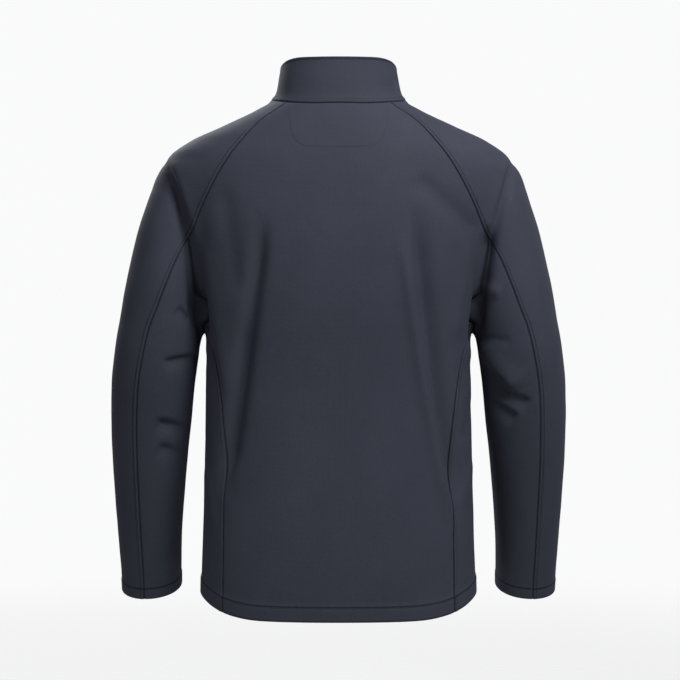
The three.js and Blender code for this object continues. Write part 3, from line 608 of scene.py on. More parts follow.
# %% The seams of both sides
def seams_of(side):
    """The seam lines of one side of the jacket: 1 for the wearer's left, -1 for the right."""
    mirror = np.array([side, 1, 1])

    def behind(rows):
        return seen(np.array(rows) * mirror[:2], 1)

    def in_front(rows):
        return seen(np.array(rows) * mirror[:2], -1)

    def places(*rows):
        return np.array(rows, float) * mirror

    cross = behind(RAGLAN_BACK[-1:])
    side_top = in_crease(places(SIDE_TOP))
    underarm = in_crease(places(UNDERARM))
    scye = behind(SCYE)
    neck_back = on_neck(behind(RAGLAN_BACK[:1]))
    neck_front = on_neck(in_front(RAGLAN_FRONT[:1]))
    sleeve_back = behind(SLEEVE_BACK)
    sleeve_foot = on_cuff(sleeve_back[-1:])

    levels = np.array([*INNER_LEVELS, CUFF_LEVEL], float)
    across, centre, half, *_ = SLEEVE.at(levels)
    inner = np.column_stack([(across + INNER_SEAM_SIDE * half) * side, centre, levels])
    inner_foot = on_cuff(inner[-1:])
    side_back = behind(SIDE_BACK)
    hem_foot = on_hem(side_back[:1])
    half, _, front, _ = BODY.at(np.array([HEM_LEVEL], float))
    turns = np.array(HEM_TURNS)
    ring = np.column_stack([
        half * np.cos(turns) * side, front * np.sin(turns), np.full(len(turns), HEM_LEVEL),
    ])
    front_foot = on_hem(places([ZIP_EDGE, -front[0], HEM_LEVEL]))
    neck_foot = on_neck(places([ZIP_EDGE, *NECK_FOOT]))
    edge_rows = in_front([[ZIP_EDGE, level] for level in FRONT_LEVELS])
    scye_front = in_crease(places(*SCYE_FRONT))
    raglan_front = in_front(RAGLAN_FRONT[1:])[::-1]

    def on_front(p):
        return seen(p[:, [0, 2]] * [0, 1] + [ZIP_EDGE * side, 0], -1)

    def on_sleeve(p):
        return settle(p, sleeve_side)

    return {
        "side": seam(np.vstack([hem_foot, side_back[1:], side_top]), settle),
        "scye": seam(np.vstack([side_top, scye[::-1], cross]), settle),
        "gusset": seam(np.vstack([side_top, underarm]), in_crease),
        "raglan_back": seam(np.vstack([cross, behind(RAGLAN_BACK[1:-1])[::-1], neck_back]), settle),
        "raglan_front": seam(np.vstack([underarm, scye_front, raglan_front, neck_front]), settle),
        "sleeve_back": seam(np.vstack([cross, sleeve_back[:-1], sleeve_foot]), settle),
        "inner": seam(np.vstack([underarm, on_sleeve(inner[:-1]), inner_foot]), on_sleeve),
        "neck_shoulder": seam(np.vstack([neck_back, on_neck(places(NECK_SIDE)), neck_front]), on_neck),
        "neck_front": seam(np.vstack([neck_front, on_neck(places(NECK_CURVE)), neck_foot]), on_neck),
        "front_edge": seam(np.vstack([front_foot, edge_rows, neck_foot]), on_front),
        "hem_front": seam(np.vstack([hem_foot, on_hem(ring), front_foot]), on_hem),
        "cuff_outer": cuff_line(sleeve_foot, inner_foot, CUFF_OUTER_TURNS, side),
        "cuff_inner": cuff_line(sleeve_foot, inner_foot, CUFF_INNER_TURNS, side),
    }


SIDES = {"left": seams_of(1), "right": seams_of(-1)}


def across_back(key, middle, place):
    """A line over the back between the two sides' lines, which it joins where they end."""
    ends = [SIDES[name][key] for name in ("right", "left")]
    right, left = (line[:1] if key == "side" else line[-1:] for line in ends)
    return seam(np.vstack([right, middle, left]), place)


HEM_BACK = across_back("side", on_hem(seen([[x, HEM_LEVEL] for x in (-100, 0, 100)], 1)), on_hem)
NECK_BACK = across_back("raglan_back", on_neck(seen([[0, 0]], 1)), on_neck)
print({name: round(lengths(line)[-1]) for name, line in SIDES["left"].items()})

# %% [markdown]
# ## Lines of topstitching
# Each seam is folded to one side and stitched down 5 mm from its line. The hems are stitched along their
# upper edge, and a half-moon is stitched below the neck. These lines are worked out first, because the
# cloth dents under the thread.

# %% Stitch lines
STITCH_IN = 5.0
TOPSTITCHED = {
    # seam: how far from it, and a place that lies on the stitched side of it, on the wearer's left
    "raglan_back": (STITCH_IN, (190, 0, -90)),
    "raglan_front": (STITCH_IN, (190, 0, -90)),
    "sleeve_back": (STITCH_IN, (330, 0, -350)),
    "side": (STITCH_IN, (190, -60, -400)),
    "front_edge": (STITCH_IN + 1, (100, -130, -400)),
}
MOON_SIDE = [[66, -6], [66, -24], [64, -42], [58, -56], [48, -63.5], [32, -66]]
MOON_MIDDLE = [0, -66.5]
HALF_MOON = [*MOON_SIDE, MOON_MIDDLE, *([-x, level] for x, level in reversed(MOON_SIDE))]


def beside(line, step, towards):
    """A line on the form beside another, a step away on the side of the point that towards gives."""
    run = np.gradient(line, axis=0)
    run /= np.linalg.norm(run, axis=1, keepdims=True)
    aside = np.cross(normals_at(line), run)
    aside *= np.where((aside * (towards - line)).sum(1) < 0, -1, 1)[:, None]
    return settle(line + aside * step, rounds=5)


def stitch_lines():
    lines = {"half_moon": [seam(seen(HALF_MOON, 1), settle)]}
    lines["hem_back"] = [on_hem(HEM_BACK[::2], HEM_DEEP - 1)]
    for name, sign in (("left", 1), ("right", -1)):
        s = SIDES[name]
        rows = {
            key: beside(s[key], step, np.array(towards) * [sign, 1, 1])
            for key, (step, towards) in TOPSTITCHED.items()
        }
        lines["sleeve_" + name] = [rows[key] for key in ("raglan_back", "raglan_front", "sleeve_back")]
        lines["side_" + name] = [rows["side"]]
        lines["front_" + name] = [rows["front_edge"]]
        lines["cuff_" + name] = [on_cuff(s[key][::2], CUFF_DEEP - 1) for key in ("cuff_outer", "cuff_inner")]
        lines["hem_" + name] = [on_hem(s["hem_front"][::2], HEM_DEEP - 1)]
    return lines


STITCHING = stitch_lines()
print("stitching", round(sum(lengths(line)[-1] for group in STITCHING.values() for line in group)), "mm")

# %% [markdown]
# ## Finishes
# The face is a tight matt polyester weave in dark navy, with a faint bloom at grazing angles, so it gets
# a rough surface and a little sheen. Its threads are about 0.35 mm apart, too fine for the picture, so
# they are drawn at 1.2 mm. The inside is brushed fleece. Seams and their stitching show as thin dark lines
# because the cloth turns down into them: the meshes carry their distance from each seam and stitch line as
# attributes, and the material darkens the cloth's colour by them, which is painted shade in those grooves,
# and dents the cloth along the stitching.


# %% One function for nodes
def add_node(tree, kind, inputs=None, **settings):
    """A node with its settings, and with each input linked to a socket or set to a value."""
    made = tree.nodes.new(kind)
    for name, value in settings.items():
        setattr(made, name, value)
    for key, value in (inputs or {}).items():
        if isinstance(value, bpy.types.NodeSocket):
            tree.links.new(value, made.inputs[key])
        else:
            made.inputs[key].default_value = value
    return made


def new_material(name, roughness, **sockets):
    material = bpy.data.materials.new(name)
    material.use_nodes = True
    shader = material.node_tree.nodes["Principled BSDF"]
    shader.inputs["Roughness"].default_value = roughness
    for key, value in sockets.items():
        shader.inputs[key.replace("_", " ")].default_value = value
    return material, material.node_tree, shader


# %% Softshell face
WEAVE, GRAIN, MOTTLE = 1.2, 2.6, 70
# a wave texture's bands are a twentieth of its own unit apart
WAVE_BANDS = 20
RANGE_SOCKETS = "From Min", "From Max", "To Min", "To Max"
SHADES = {
    # what: where it starts and ends, the grain's own value or mm from the line, and the shade at each end
    "fleck": (0.3, 0.7, 0.94, 1.06),
    # seam: painted shade, a darker colour in the groove along a seam
    "seam": (0.5, 1.9, 0.42, 1.0),
    # thread: painted shade, a darker colour in the dent along the stitching
    "thread": (0.4, 1.5, 0.32, 1.0),
}


def softshell_face():
    """Woven polyester face of bonded cloth: matt, with a faint bloom where it turns away."""
    material, tree, shader = new_material(
        "woven softshell face", 0.8, Specular_IOR_Level=0.2, Sheen_Weight=0.06, Sheen_Roughness=0.5
    )
    shader.inputs["Sheen Tint"].default_value = linear("#aab0c8")
    place = add_node(tree, "ShaderNodeTexCoord").outputs["Object"]
    cloth = add_node(tree, "ShaderNodeUVMap", uv_map="cloth").outputs["UV"]
    seam_mm = add_node(tree, "ShaderNodeAttribute", attribute_name="seam_mm").outputs["Fac"]
    thread_mm = add_node(tree, "ShaderNodeAttribute", attribute_name="thread_mm").outputs["Fac"]
    mottle = add_node(tree, "ShaderNodeTexNoise", {"Vector": place, "Scale": 1000 / MOTTLE, "Detail": 3.0})
    grain = add_node(tree, "ShaderNodeTexNoise", {"Vector": place, "Scale": 1000 / GRAIN, "Detail": 2.0})
    tone = add_node(
        tree, "ShaderNodeMix", {"Factor": mottle.outputs["Fac"], 6: linear("#353844"), 7: linear("#3d404c")},
        data_type="RGBA",
    )
    read = {"fleck": grain.outputs["Fac"], "seam": seam_mm, "thread": thread_mm}
    ranges = {name: {"Value": read[name], **dict(zip(RANGE_SOCKETS, ends))} for name, ends in SHADES.items()}
    # the seam ramp is painted shade in the groove along each seam; the fleck ramp is the cloth's own tone
    fleck, seam_painted_shade, stitch_painted_shade_and_dent = (
        add_node(tree, "ShaderNodeMapRange", ranges[name]).outputs[0] for name in SHADES
    )
    shade = add_node(tree, "ShaderNodeMath", {0: fleck, 1: seam_painted_shade}, operation="MULTIPLY").outputs[0]
    # the stitch ramp is painted shade in the stitching's dent, and below it also makes that dent
    shade = add_node(tree, "ShaderNodeMath", {0: shade, 1: stitch_painted_shade_and_dent}, operation="MULTIPLY").outputs[0]
    dyed = add_node(tree, "ShaderNodeVectorMath", {0: tone.outputs[2], "Scale": shade}, operation="SCALE")
    tree.links.new(dyed.outputs[0], shader.inputs["Base Color"])
    wave = {"Vector": cloth, "Scale": 1000 / WEAVE / WAVE_BANDS, "Distortion": 0.6, "Detail Scale": 4.0}
    warp, weft = (
        add_node(tree, "ShaderNodeTexWave", wave, bands_direction=axis).outputs["Fac"] for axis in "XY"
    )
    threads = add_node(tree, "ShaderNodeMath", {0: warp, 1: weft}, operation="MULTIPLY").outputs[0]
    height = add_node(
        tree, "ShaderNodeMath", {0: grain.outputs["Fac"], 1: 1.5, 2: threads}, operation="MULTIPLY_ADD"
    )
    cloth_bump = add_node(
        tree, "ShaderNodeBump", {"Height": height.outputs[0], "Strength": 0.12, "Distance": 0.3 * MM}
    )
    line_bump = add_node(
        tree, "ShaderNodeBump",
        {"Height": stitch_painted_shade_and_dent, "Strength": 0.6, "Distance": 0.9 * MM, "Normal": cloth_bump.outputs[0]},
    )
    tree.links.new(line_bump.outputs[0], shader.inputs["Normal"])
    return material


FACE = softshell_face()
print("face", FACE.name, "with", len(FACE.node_tree.nodes), "nodes")


# %% Fleece back, thread, zip tape, teeth and enamel
def grained(made, tones, grain_mm, detail, strength, depth):
    """Gives a new material a grain of a real size, between two tones and in low relief."""
    material, tree, shader = made
    place = add_node(tree, "ShaderNodeTexCoord").outputs["Object"]
    grain = {"Vector": place, "Scale": 1000 / grain_mm, "Detail": detail}
    grain = add_node(tree, "ShaderNodeTexNoise", grain).outputs["Fac"]
    tone = add_node(tree, "ShaderNodeMix", {"Factor": grain, 6: tones[0], 7: tones[1]}, data_type="RGBA")
    tree.links.new(tone.outputs[2], shader.inputs["Base Color"])
    bump = add_node(tree, "ShaderNodeBump", {"Height": grain, "Strength": strength, "Distance": depth * MM})
    tree.links.new(bump.outputs[0], shader.inputs["Normal"])
    return material


def fleece_back():
    """Brushed polyester fleece: short soft pile with no gloss."""
    made = new_material("brushed fleece back", 0.95, Sheen_Weight=0.5, Sheen_Roughness=0.6)
    return grained(made, (linear("#1c1d22"), linear("#34363e")), 2.2, 4.0, 0.5, 0.8)


def plain_grained(name, colour, roughness, grain_mm, depth, **sockets):
    """A surface of one colour, with a fine grain that makes it a little lighter and darker."""
    tones = [[c * k for c in linear(colour)[:3]] + [1.0] for k in (0.85, 1.15)]
    return grained(new_material(name, roughness, **sockets), tones, grain_mm, 3.0, 0.4, depth)


FLEECE = fleece_back()
# spun thread and woven tape are matt, moulded acetal has a low gloss, and enamel on cast zinc gleams a little
THREAD = plain_grained("spun polyester thread", "#2c2e37", 0.7, 0.5, 0.1)
TAPE = plain_grained("woven zip tape", "#24262d", 0.85, 0.9, 0.3)
ACETAL = plain_grained("moulded acetal", "#1b1c20", 0.42, 1.5, 0.03)
ENAMEL = plain_grained("enamelled zinc", "#26282d", 0.35, 0.8, 0.02, Metallic=0.6)
print("finishes", [m.name for m in (FACE, FLEECE, THREAD, TAPE, ACETAL, ENAMEL)])

# %% [markdown]
# ## Cut pieces
# A pattern piece here has four edges. A coarse net is stretched between them and relaxed on the form, as
# a tailor smooths cloth over a stand. Blender's grid then gives the piece its fine mesh, 3 to 4 mm a
# cell, and each of its points is laid on the net. The cloth turns down into its seams, the topstitched
# side stands up over its folded allowance, and hems stand a little proud. A Solidify modifier gives the
# wall its thickness, with fleece inside.

# %% Edges in coarse rows
CELLS = {"side": 14, "scye": 7, "gusset": 2, "raglan": 12, "sleeve": 20, "back": 18, "front": 12, "upper": 11}


def edge(line, cells, hem=0):
    """A line with the places of its coarse rows; a hem gives its first two rows their places."""
    places = np.linspace(0, lengths(line)[-1], cells + 1)
    if hem:
        places[1:3] = hem, hem + STEP_RUN
    return line, places


def reverse(part):
    line, places = part
    return line[::-1], lengths(line)[-1] - places[::-1]


def joined(*parts):
    line, places = parts[0]
    for more, more_places in parts[1:]:
        places = np.concatenate([places, lengths(line)[-1] + more_places[1:]])
        line = np.vstack([line, more[1:]])
    return line, places


def read_edge(part, rows):
    """Points of an edge at coarse row numbers, fractions too."""
    line, places = part
    return along(line, np.interp(rows, np.arange(len(places)), places))


print("coarse cells from hem to neck", CELLS["side"] + CELLS["scye"] + CELLS["raglan"])

# %% A coarse net, relaxed
RELAX_ROUNDS, RELAX_SHARE = 40, 0.6


def coarse_net(bottom, top, left, right, raised, field, bulge=None):
    """A net between four edges, relaxed on the form. The two rows that edge the hem stay put."""
    b, t, l, r = (along(*part) for part in (bottom, top, left, right))
    v = np.linspace(0, 1, len(l))[:, None, None]
    u = np.linspace(0, 1, len(b))[None, :, None]
    net = l[:, None] * (1 - u) + r[:, None] * u + b[None] * (1 - v) + t[None] * v
    net -= b[0] * (1 - u) * (1 - v) + b[-1] * u * (1 - v) + t[0] * (1 - u) * v + t[-1] * u * v
    if bulge:
        net += bulge(u, v)
    net[0], net[-1], net[:, 0], net[:, -1] = b, t, l, r
    net[1, 1:-1] = raised(b[1:-1], 0)
    net[2, 1:-1] = raised(b[1:-1], STEP_RUN)
    inner = net[3:-1, 1:-1]
    inner[:] = settle(inner.reshape(-1, 3), field, rounds=20).reshape(inner.shape)
    for _ in range(RELAX_ROUNDS):
        around = (net[2:-2, 1:-1] + net[4:, 1:-1] + net[3:-1, :-2] + net[3:-1, 2:]) / 4
        eased = inner + RELAX_SHARE * (around - inner)
        inner[:] = settle(eased.reshape(-1, 3), field, rounds=3).reshape(inner.shape)
    return net


print("nets are relaxed in", RELAX_ROUNDS, "rounds")

# %% Its fine mesh
HEM_ROWS, STEP_ROWS = 6, 2
CLOSE_ROW = 0.38
EASE_ROUNDS, EASE_SHARE = 25, 0.7
CROWDED_FROM, CROWDED_TO = (-350, -325), (-280, -255)
CROWDED_ASIDE = 12, 30
CROWDED_FADE = 15
# how far back the net itself and the folded cloth are evened out
NET_BEHIND, WORN_BEHIND = 60, 25


def fine_rows(count, splits, hem=False):
    """Row numbers of the fine mesh in coarse rows, with a close row beside each turned-down edge."""
    rows = []
    for i in range(count - 1):
        parts = {0: HEM_ROWS, 1: STEP_ROWS}.get(i, splits) if hem else splits
        rows += [i + k / parts for k in range(parts)]
    rows.append(count - 1)
    if not hem:
        rows.insert(1, rows[0] + CLOSE_ROW * (rows[1] - rows[0]))
    rows.insert(-1, rows[-1] - CLOSE_ROW * (rows[-1] - rows[-2]))
    return np.array(rows, float)


def spread(net, up, across):
    """The net's points at fractions of its rows and columns."""
    j = np.clip(up.astype(int), 0, net.shape[0] - 2)
    i = np.clip(across.astype(int), 0, net.shape[1] - 2)
    v, u = (up - j)[:, None, None], (across - i)[None, :, None]
    low = net[j][:, i] * (1 - u) + net[j][:, i + 1] * u
    high = net[j + 1][:, i] * (1 - u) + net[j + 1][:, i + 1] * u
    return low * (1 - v) + high * v


def ease_under_arm(points, behind):
    """Evens out the crowded part of a net under the arm, as far back as `behind`."""
    inner = points[1:-1, 1:-1]
    for _ in range(EASE_ROUNDS):
        crowded = fade(*CROWDED_FROM, inner[..., 2]) * (1 - fade(*CROWDED_TO, inner[..., 2]))
        crowded *= 1 - fade(*CROWDED_ASIDE, np.abs(np.abs(inner[..., 0]) - UNDERARM[0]))
        crowded *= 1 - fade(behind - CROWDED_FADE, behind, inner[..., 1])
        around = (points[:-2, 1:-1] + points[2:, 1:-1] + points[1:-1, :-2] + points[1:-1, 2:]) / 4
        inner += EASE_SHARE * crowded[..., None] * (around - inner)


def fine_net(bottom, top, left, right, net, up, across, field):
    """The net at fine rows and columns, drawn to the true edges within a cell of each, laid on the form."""
    points = spread(net, up, across)
    rows, columns = net.shape[0] - 1, net.shape[1] - 1
    for line, column, near in ((left, 0, 1 - across), (right, -1, 1 - columns + across)):
        points += (read_edge(line, up) - points[:, column])[:, None] * np.maximum(near, 0)[:, None]
    for line, row, near in ((bottom, 0, 1 - up), (top, -1, 1 - rows + up)):
        points += (read_edge(line, across) - points[row]) * np.maximum(near, 0)[:, None, None]
    points[0], points[-1] = read_edge(bottom, across), read_edge(top, across)
    points[:, 0], points[:, -1] = read_edge(left, up), read_edge(right, up)
    inner = points[1:-1, 1:-1]
    inner[:] = settle(inner.reshape(-1, 3), field, rounds=5).reshape(inner.shape)
    ease_under_arm(points, NET_BEHIND)
    inner[:] = settle(inner.reshape(-1, 3), field, rounds=5).reshape(inner.shape)
    return points


print("fine rows in a hem", HEM_ROWS)

# %% Relief along the seams
CLOTH = 1.6
TURN_DOWN, TURN_DOWN_RUN = 1.0, 1.0
ALLOWANCE = 0.5
# how far from the seam the folded allowance starts and ends, with its slopes
ALLOWANCE_FROM, ALLOWANCE_TO = (0.6, 1.8), (4.3, 5.8)
HEM_SWELL, CUFF_SWELL = 1.4, 0.8
FAR = 40.0


def distance_from(lines, p):
    """Each point's distance from the nearest of some lines, no more than FAR."""
    if not lines:
        return np.full(len(p), FAR)
    points = np.vstack(lines)
    tree = kdtree.KDTree(len(points))
    for i, q in enumerate(points):
        tree.insert(q, i)
    tree.balance()
    return np.minimum([tree.find(q)[2] for q in p], FAR)


def seam_relief(from_seam, from_stitched):
    """The cloth's rise over its folded seam allowance, and its turn down into the seam."""
    rise = ALLOWANCE * fade(*ALLOWANCE_FROM, from_stitched) * (1 - fade(*ALLOWANCE_TO, from_stitched))
    return rise - TURN_DOWN * np.exp(-((from_seam / TURN_DOWN_RUN) ** 2))


def hem_swell(p):
    """The turned-up hem holds the cloth out."""
    return HEM_SWELL * (1 - fade(HEM_DEEP, HEM_DEEP + STEP_RUN, p[:, 2] - hem_level(p)))


def cuff_swell(p):
    """The turned-up cuff holds the cloth out."""
    return CUFF_SWELL * (1 - fade(CUFF_DEEP, CUFF_DEEP + STEP_RUN, p[:, 2] - cuff_level(p)))


print("cloth", CLOTH, "mm, a hem stands", HEM_SWELL, "mm proud")


# %% Cloth from a grid
def put_in_scene(name, mesh, materials):
    for material in materials:
        mesh.materials.append(material)
    piece = bpy.data.objects.new(name, mesh)
    bpy.context.scene.collection.objects.link(piece)
    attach(piece, "jacket")
    return piece


def grid_mesh(name, points, outwards):
    """A mesh from bmesh's grid on the given points, with its cloth laid out in metres as a UV map."""
    rows, columns = points.shape[:2]
    bm = bmesh.new()
    bmesh.ops.create_grid(bm, x_segments=columns - 1, y_segments=rows - 1, size=0.5)
    place = {}
    for vertex in bm.verts:
        i = round((vertex.co.x + 0.5) * (columns - 1))
        j = round((vertex.co.y + 0.5) * (rows - 1))
        place[vertex.index] = j * columns + i
        vertex.co = points[j, i] * MM
    bm.normal_update()
    bm.faces.ensure_lookup_table()
    middle = bm.faces[len(bm.faces) // 2]
    if middle.normal.dot(Vector(outwards(np.array([middle.calc_center_median()]) / MM)[0])) < 0:
        bmesh.ops.reverse_faces(bm, faces=bm.faces)
    mesh = bpy.data.meshes.new(name)
    bm.to_mesh(mesh)
    bm.free()
    mesh.shade_smooth()
    order = np.array([place[i] for i in range(len(place))])
    wide = np.linalg.norm(np.diff(points, axis=1), axis=2).mean(0)
    tall = np.linalg.norm(np.diff(points, axis=0), axis=2).mean(1)
    u, v = np.meshgrid(np.concatenate([[0], np.cumsum(wide)]), np.concatenate([[0], np.cumsum(tall)]))
    loops = np.empty(len(mesh.loops), int)
    mesh.loops.foreach_get("vertex_index", loops)
    corner = order[loops]
    laid = np.column_stack([u.ravel()[corner], v.ravel()[corner]]) * MM
    mesh.uv_layers.new(name="cloth").data.foreach_set("uv", laid.ravel())
    return mesh, order


def add_attribute(mesh, name, values, order):
    mesh.attributes.new(name, "FLOAT", "POINT").data.foreach_set("value", values[order].astype(np.float32))


def thicken(piece, thick):
    """Gives the cloth its thickness, inwards, with fleece on the inside."""
    wall = piece.modifiers.new("wall", "SOLIDIFY")
    wall.thickness = thick * MM
    wall.offset = -1
    wall.material_offset = 1


def declare(name):
    """Hides the CAD node that the cloth stands for."""
    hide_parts(name)


# the half-moon is too faint for the painted shade and the dent that the other stitch lines get
THREADS = [line for name, group in STITCHING.items() if name != "half_moon" for line in group]
HEM_LINE_STEP = 0.8


def cloth_piece(name, edges, raised, field, splits, seams, stitched, swell, bulge=None):
    """One sewn piece: laid on the form, folded, hemmed and dressed, with the CAD node it stands for hidden.
    """
    net = coarse_net(*edges, raised, field, bulge)
    up, across = fine_rows(net.shape[0], splits, hem=True), fine_rows(net.shape[1], splits)
    points = fine_net(*edges, net, up, across, field)
    flat = points.reshape(-1, 3)
    normals = normals_at(flat)
    hem = points[HEM_ROWS]
    hem = along(hem, np.arange(0, lengths(hem)[-1], HEM_LINE_STEP))
    from_seam, from_stitched = distance_from([*seams, hem], flat), distance_from(stitched, flat)
    lift = fold_lift(flat) + unevenness(flat) + seam_relief(from_seam, from_stitched) + swell(flat)
    worn = (flat + normals * lift[:, None]).reshape(points.shape)
    ease_under_arm(worn, WORN_BEHIND)
    mesh, order = grid_mesh(name, worn, normals_at)
    add_attribute(mesh, "seam_mm", from_seam, order)
    add_attribute(mesh, "thread_mm", distance_from(THREADS, flat), order)
    piece = put_in_scene(name + "_cloth", mesh, (FACE, FLEECE))
    thicken(piece, CLOTH)
    declare(name)


# %% Back, fronts and sleeves
SPLITS, SLEEVE_SPLITS = 7, 9
# how far a sleeve's net is pushed out and up over the shoulder before it is relaxed, and from where up
PUSH_OUT, PUSH_UP, SHOULDER_FROM = 160, 130, 0.4


def above_hem(p, more):
    return on_hem(p, HEM_DEEP + more)


def above_cuff(p, more):
    return on_cuff(p, CUFF_DEEP + more)


def make_back():
    left, right = SIDES["left"], SIDES["right"]
    hem, neck = edge(HEM_BACK, CELLS["back"]), edge(NECK_BACK, CELLS["back"])

    def up_side(s):
        return joined(
            edge(s["side"], CELLS["side"], HEM_DEEP), edge(s["scye"], CELLS["scye"]),
            edge(s["raglan_back"], CELLS["raglan"]),
        )

    edges = hem, neck, up_side(right), up_side(left)
    seams = [s[key] for s in (left, right) for key in ("side", "scye", "raglan_back")]
    cloth_piece("back", edges, above_hem, body_side, SPLITS, [*seams, neck[0]], [], hem_swell)


def make_front(name):
    s = SIDES[name]
    side_edge = joined(
        edge(s["side"], CELLS["side"], HEM_DEEP), edge(s["gusset"], CELLS["gusset"]),
        edge(s["raglan_front"], CELLS["raglan"]),
    )
    front_cells = CELLS["side"] + CELLS["gusset"] + CELLS["raglan"]
    edges = (
        edge(s["hem_front"], CELLS["front"]), edge(s["neck_front"], CELLS["front"]), side_edge,
        edge(s["front_edge"], front_cells, HEM_DEEP),
    )
    seams = [s[key] for key in ("side", "gusset", "raglan_front", "neck_front", "front_edge")]
    stitched = [s["side"], s["front_edge"]]
    cloth_piece("front_" + name, edges, above_hem, body_side, SPLITS, seams, stitched, hem_swell)


def make_sleeve(side_name, side):
    s = SIDES[side_name]
    back_part = reverse(edge(s["sleeve_back"], CELLS["sleeve"]))
    back_part = edge(back_part[0], CELLS["sleeve"], CUFF_DEEP)
    inner_part = edge(s["inner"][::-1], CELLS["sleeve"], CUFF_DEEP)
    raglan_back = edge(s["raglan_back"], CELLS["raglan"])
    raglan_front = edge(s["raglan_front"], CELLS["raglan"])

    def outwards(u, v):
        push = np.zeros((v.shape[0], u.shape[1], 3))
        shape = (np.sin(math.pi * u) * (1 - v**6))[:, :, 0]
        push[:, :, 0] = PUSH_OUT * side * shape
        push[:, :, 2] = PUSH_UP * np.maximum(v - SHOULDER_FROM, 0)[:, :, 0] * shape
        return push

    upper_edges = (
        edge(s["cuff_outer"], CELLS["upper"]), edge(s["neck_shoulder"], CELLS["upper"]),
        joined(back_part, raglan_back), joined(inner_part, raglan_front),
    )
    stitched = [s[key] for key in ("raglan_back", "raglan_front", "sleeve_back")]
    cloth_piece(
        "sleeve_upper_" + side_name, upper_edges, above_cuff, sleeve_side, SLEEVE_SPLITS,
        [*stitched, s["inner"], s["neck_shoulder"]], stitched, cuff_swell, outwards,
    )
    armhole = joined(reverse(edge(s["scye"], CELLS["scye"])), edge(s["gusset"], CELLS["gusset"]))
    under_edges = edge(s["cuff_inner"], CELLS["scye"] + CELLS["gusset"]), armhole, back_part, inner_part
    seams = [s[key] for key in ("scye", "gusset", "sleeve_back", "inner")]
    cloth_piece(
        "sleeve_under_" + side_name, under_edges, above_cuff, sleeve_side, SLEEVE_SPLITS,
        seams, [], cuff_swell,
    )


make_back()
for side_name in SIDES:
    make_front(side_name)
for side_name, sign in (("left", 1), ("right", -1)):
    make_sleeve(side_name, sign)

# %% [markdown]
# ## Collar
# The collar is two layers of the cloth, sewn round the neck and turned over at its top edge. It leans in
# from its foot, where it flares over the seam. It is one grid, from the neck seam up its outside, with
# both layers in its thickness.

# %% Collar shape
COLLAR_CLOTH = 2.8
COLLAR_HALF, COLLAR_BACK, COLLAR_FRONT, COLLAR_SQUARE = 81, 69, 73, 2.2
COLLAR_TOP_LEVEL = Table("level height", [[69, 60], [50, 61], [22, 57], [0, 50], [-30, 33], [-73, 2]])
COLLAR_LIFT, COLLAR_TUCK = 0.4, 2.0
BESIDE_ZIP = 30
# the flare over the neck seam takes this share of the lean, and the higher the power the lower it ends
FLARE, FLARE_POWER = 0.4, 8
FOOT_ROWS, COLLAR_ROWS, TOP_ROWS = [0, 0.017], np.linspace(0.045, 0.94, 22), [0.962, 0.98, 0.993, 1]
END_COLUMN, INNER_COLUMN, COLLAR_COLUMNS = 1.0, 2.6, 190
# the allowance over the foot and the roll of the top edge: height, then where they start and end
FOOT_RIDGE, FOOT_FROM, FOOT_TO = 0.55, (0.8, 2.2), (4.6, 6.2)
TOP_RIDGE, TOP_FROM = 0.5, (2.2, 3.4)
TOP_DROP, TOP_DROP_RUN, TOP_LINE = 1.3, 1.1, 2.8
COLLAR_UNEVEN = 0.5
COLLAR_FOLDS = [
    # x, y, level, run across, run up, out
    (-79, 26, 33, 9, 8, -2.2),
    (-66, 42, 36, 12, 12, 1.0),
    (84, 4, 20, 10, 14, -1.0),
    (66, 44, 30, 14, 22, 1.2),
    (30, 68, 28, 26, 16, 0.8),
    (-48, -58, -14, 14, 12, -1.2),
    (52, -56, -10, 14, 12, -1.2),
]


def collar_points(foot, heights):
    """The collar's outside over its foot line, at shares of its height: rows by heights, columns by foot."""
    around = foot[:, :2] / np.linalg.norm(foot[:, :2], axis=1, keepdims=True)
    deep = np.where(foot[:, 1] > 0, COLLAR_BACK, COLLAR_FRONT)
    shares = np.abs(around) / np.column_stack([np.full(len(deep), COLLAR_HALF), deep])
    share = (shares**COLLAR_SQUARE).sum(1)
    top = np.empty_like(foot)
    top[:, :2] = around / share[:, None] ** (1 / COLLAR_SQUARE)
    by_zip = np.clip(1 - (np.abs(foot[:, 0]) - ZIP_EDGE) / BESIDE_ZIP, 0, 1) * (foot[:, 1] < 0)
    top[:, 0] += (foot[:, 0] - top[:, 0]) * by_zip
    top[:, 2] = COLLAR_TOP_LEVEL.at(top[:, 1])[0]
    h = np.array(heights)[:, None]
    lean = (1 - FLARE) * h + FLARE * (1 - (1 - h) ** FLARE_POWER)
    x = foot[:, 0] + (top[:, 0] - foot[:, 0]) * lean
    y = foot[:, 1] + (top[:, 1] - foot[:, 1]) * lean
    z = foot[:, 2] + COLLAR_LIFT + (top[:, 2] - foot[:, 2] - COLLAR_LIFT) * h
    return np.stack([x, y, z], axis=2)


print("collar rows", len(FOOT_ROWS) + len(COLLAR_ROWS) + len(TOP_ROWS))


# %% The collar's cloth
def collar_normals(points):
    """The way out of the collar at each of its grid's points."""
    run = np.gradient(points, axis=1)
    rise = np.gradient(points, axis=0)
    out = np.cross(run, rise)
    out /= np.linalg.norm(out, axis=2, keepdims=True)
    radial = points.copy()
    radial[:, :, 2] = 0
    return out * np.where((out * radial).sum(2) < 0, -1, 1)[:, :, None]


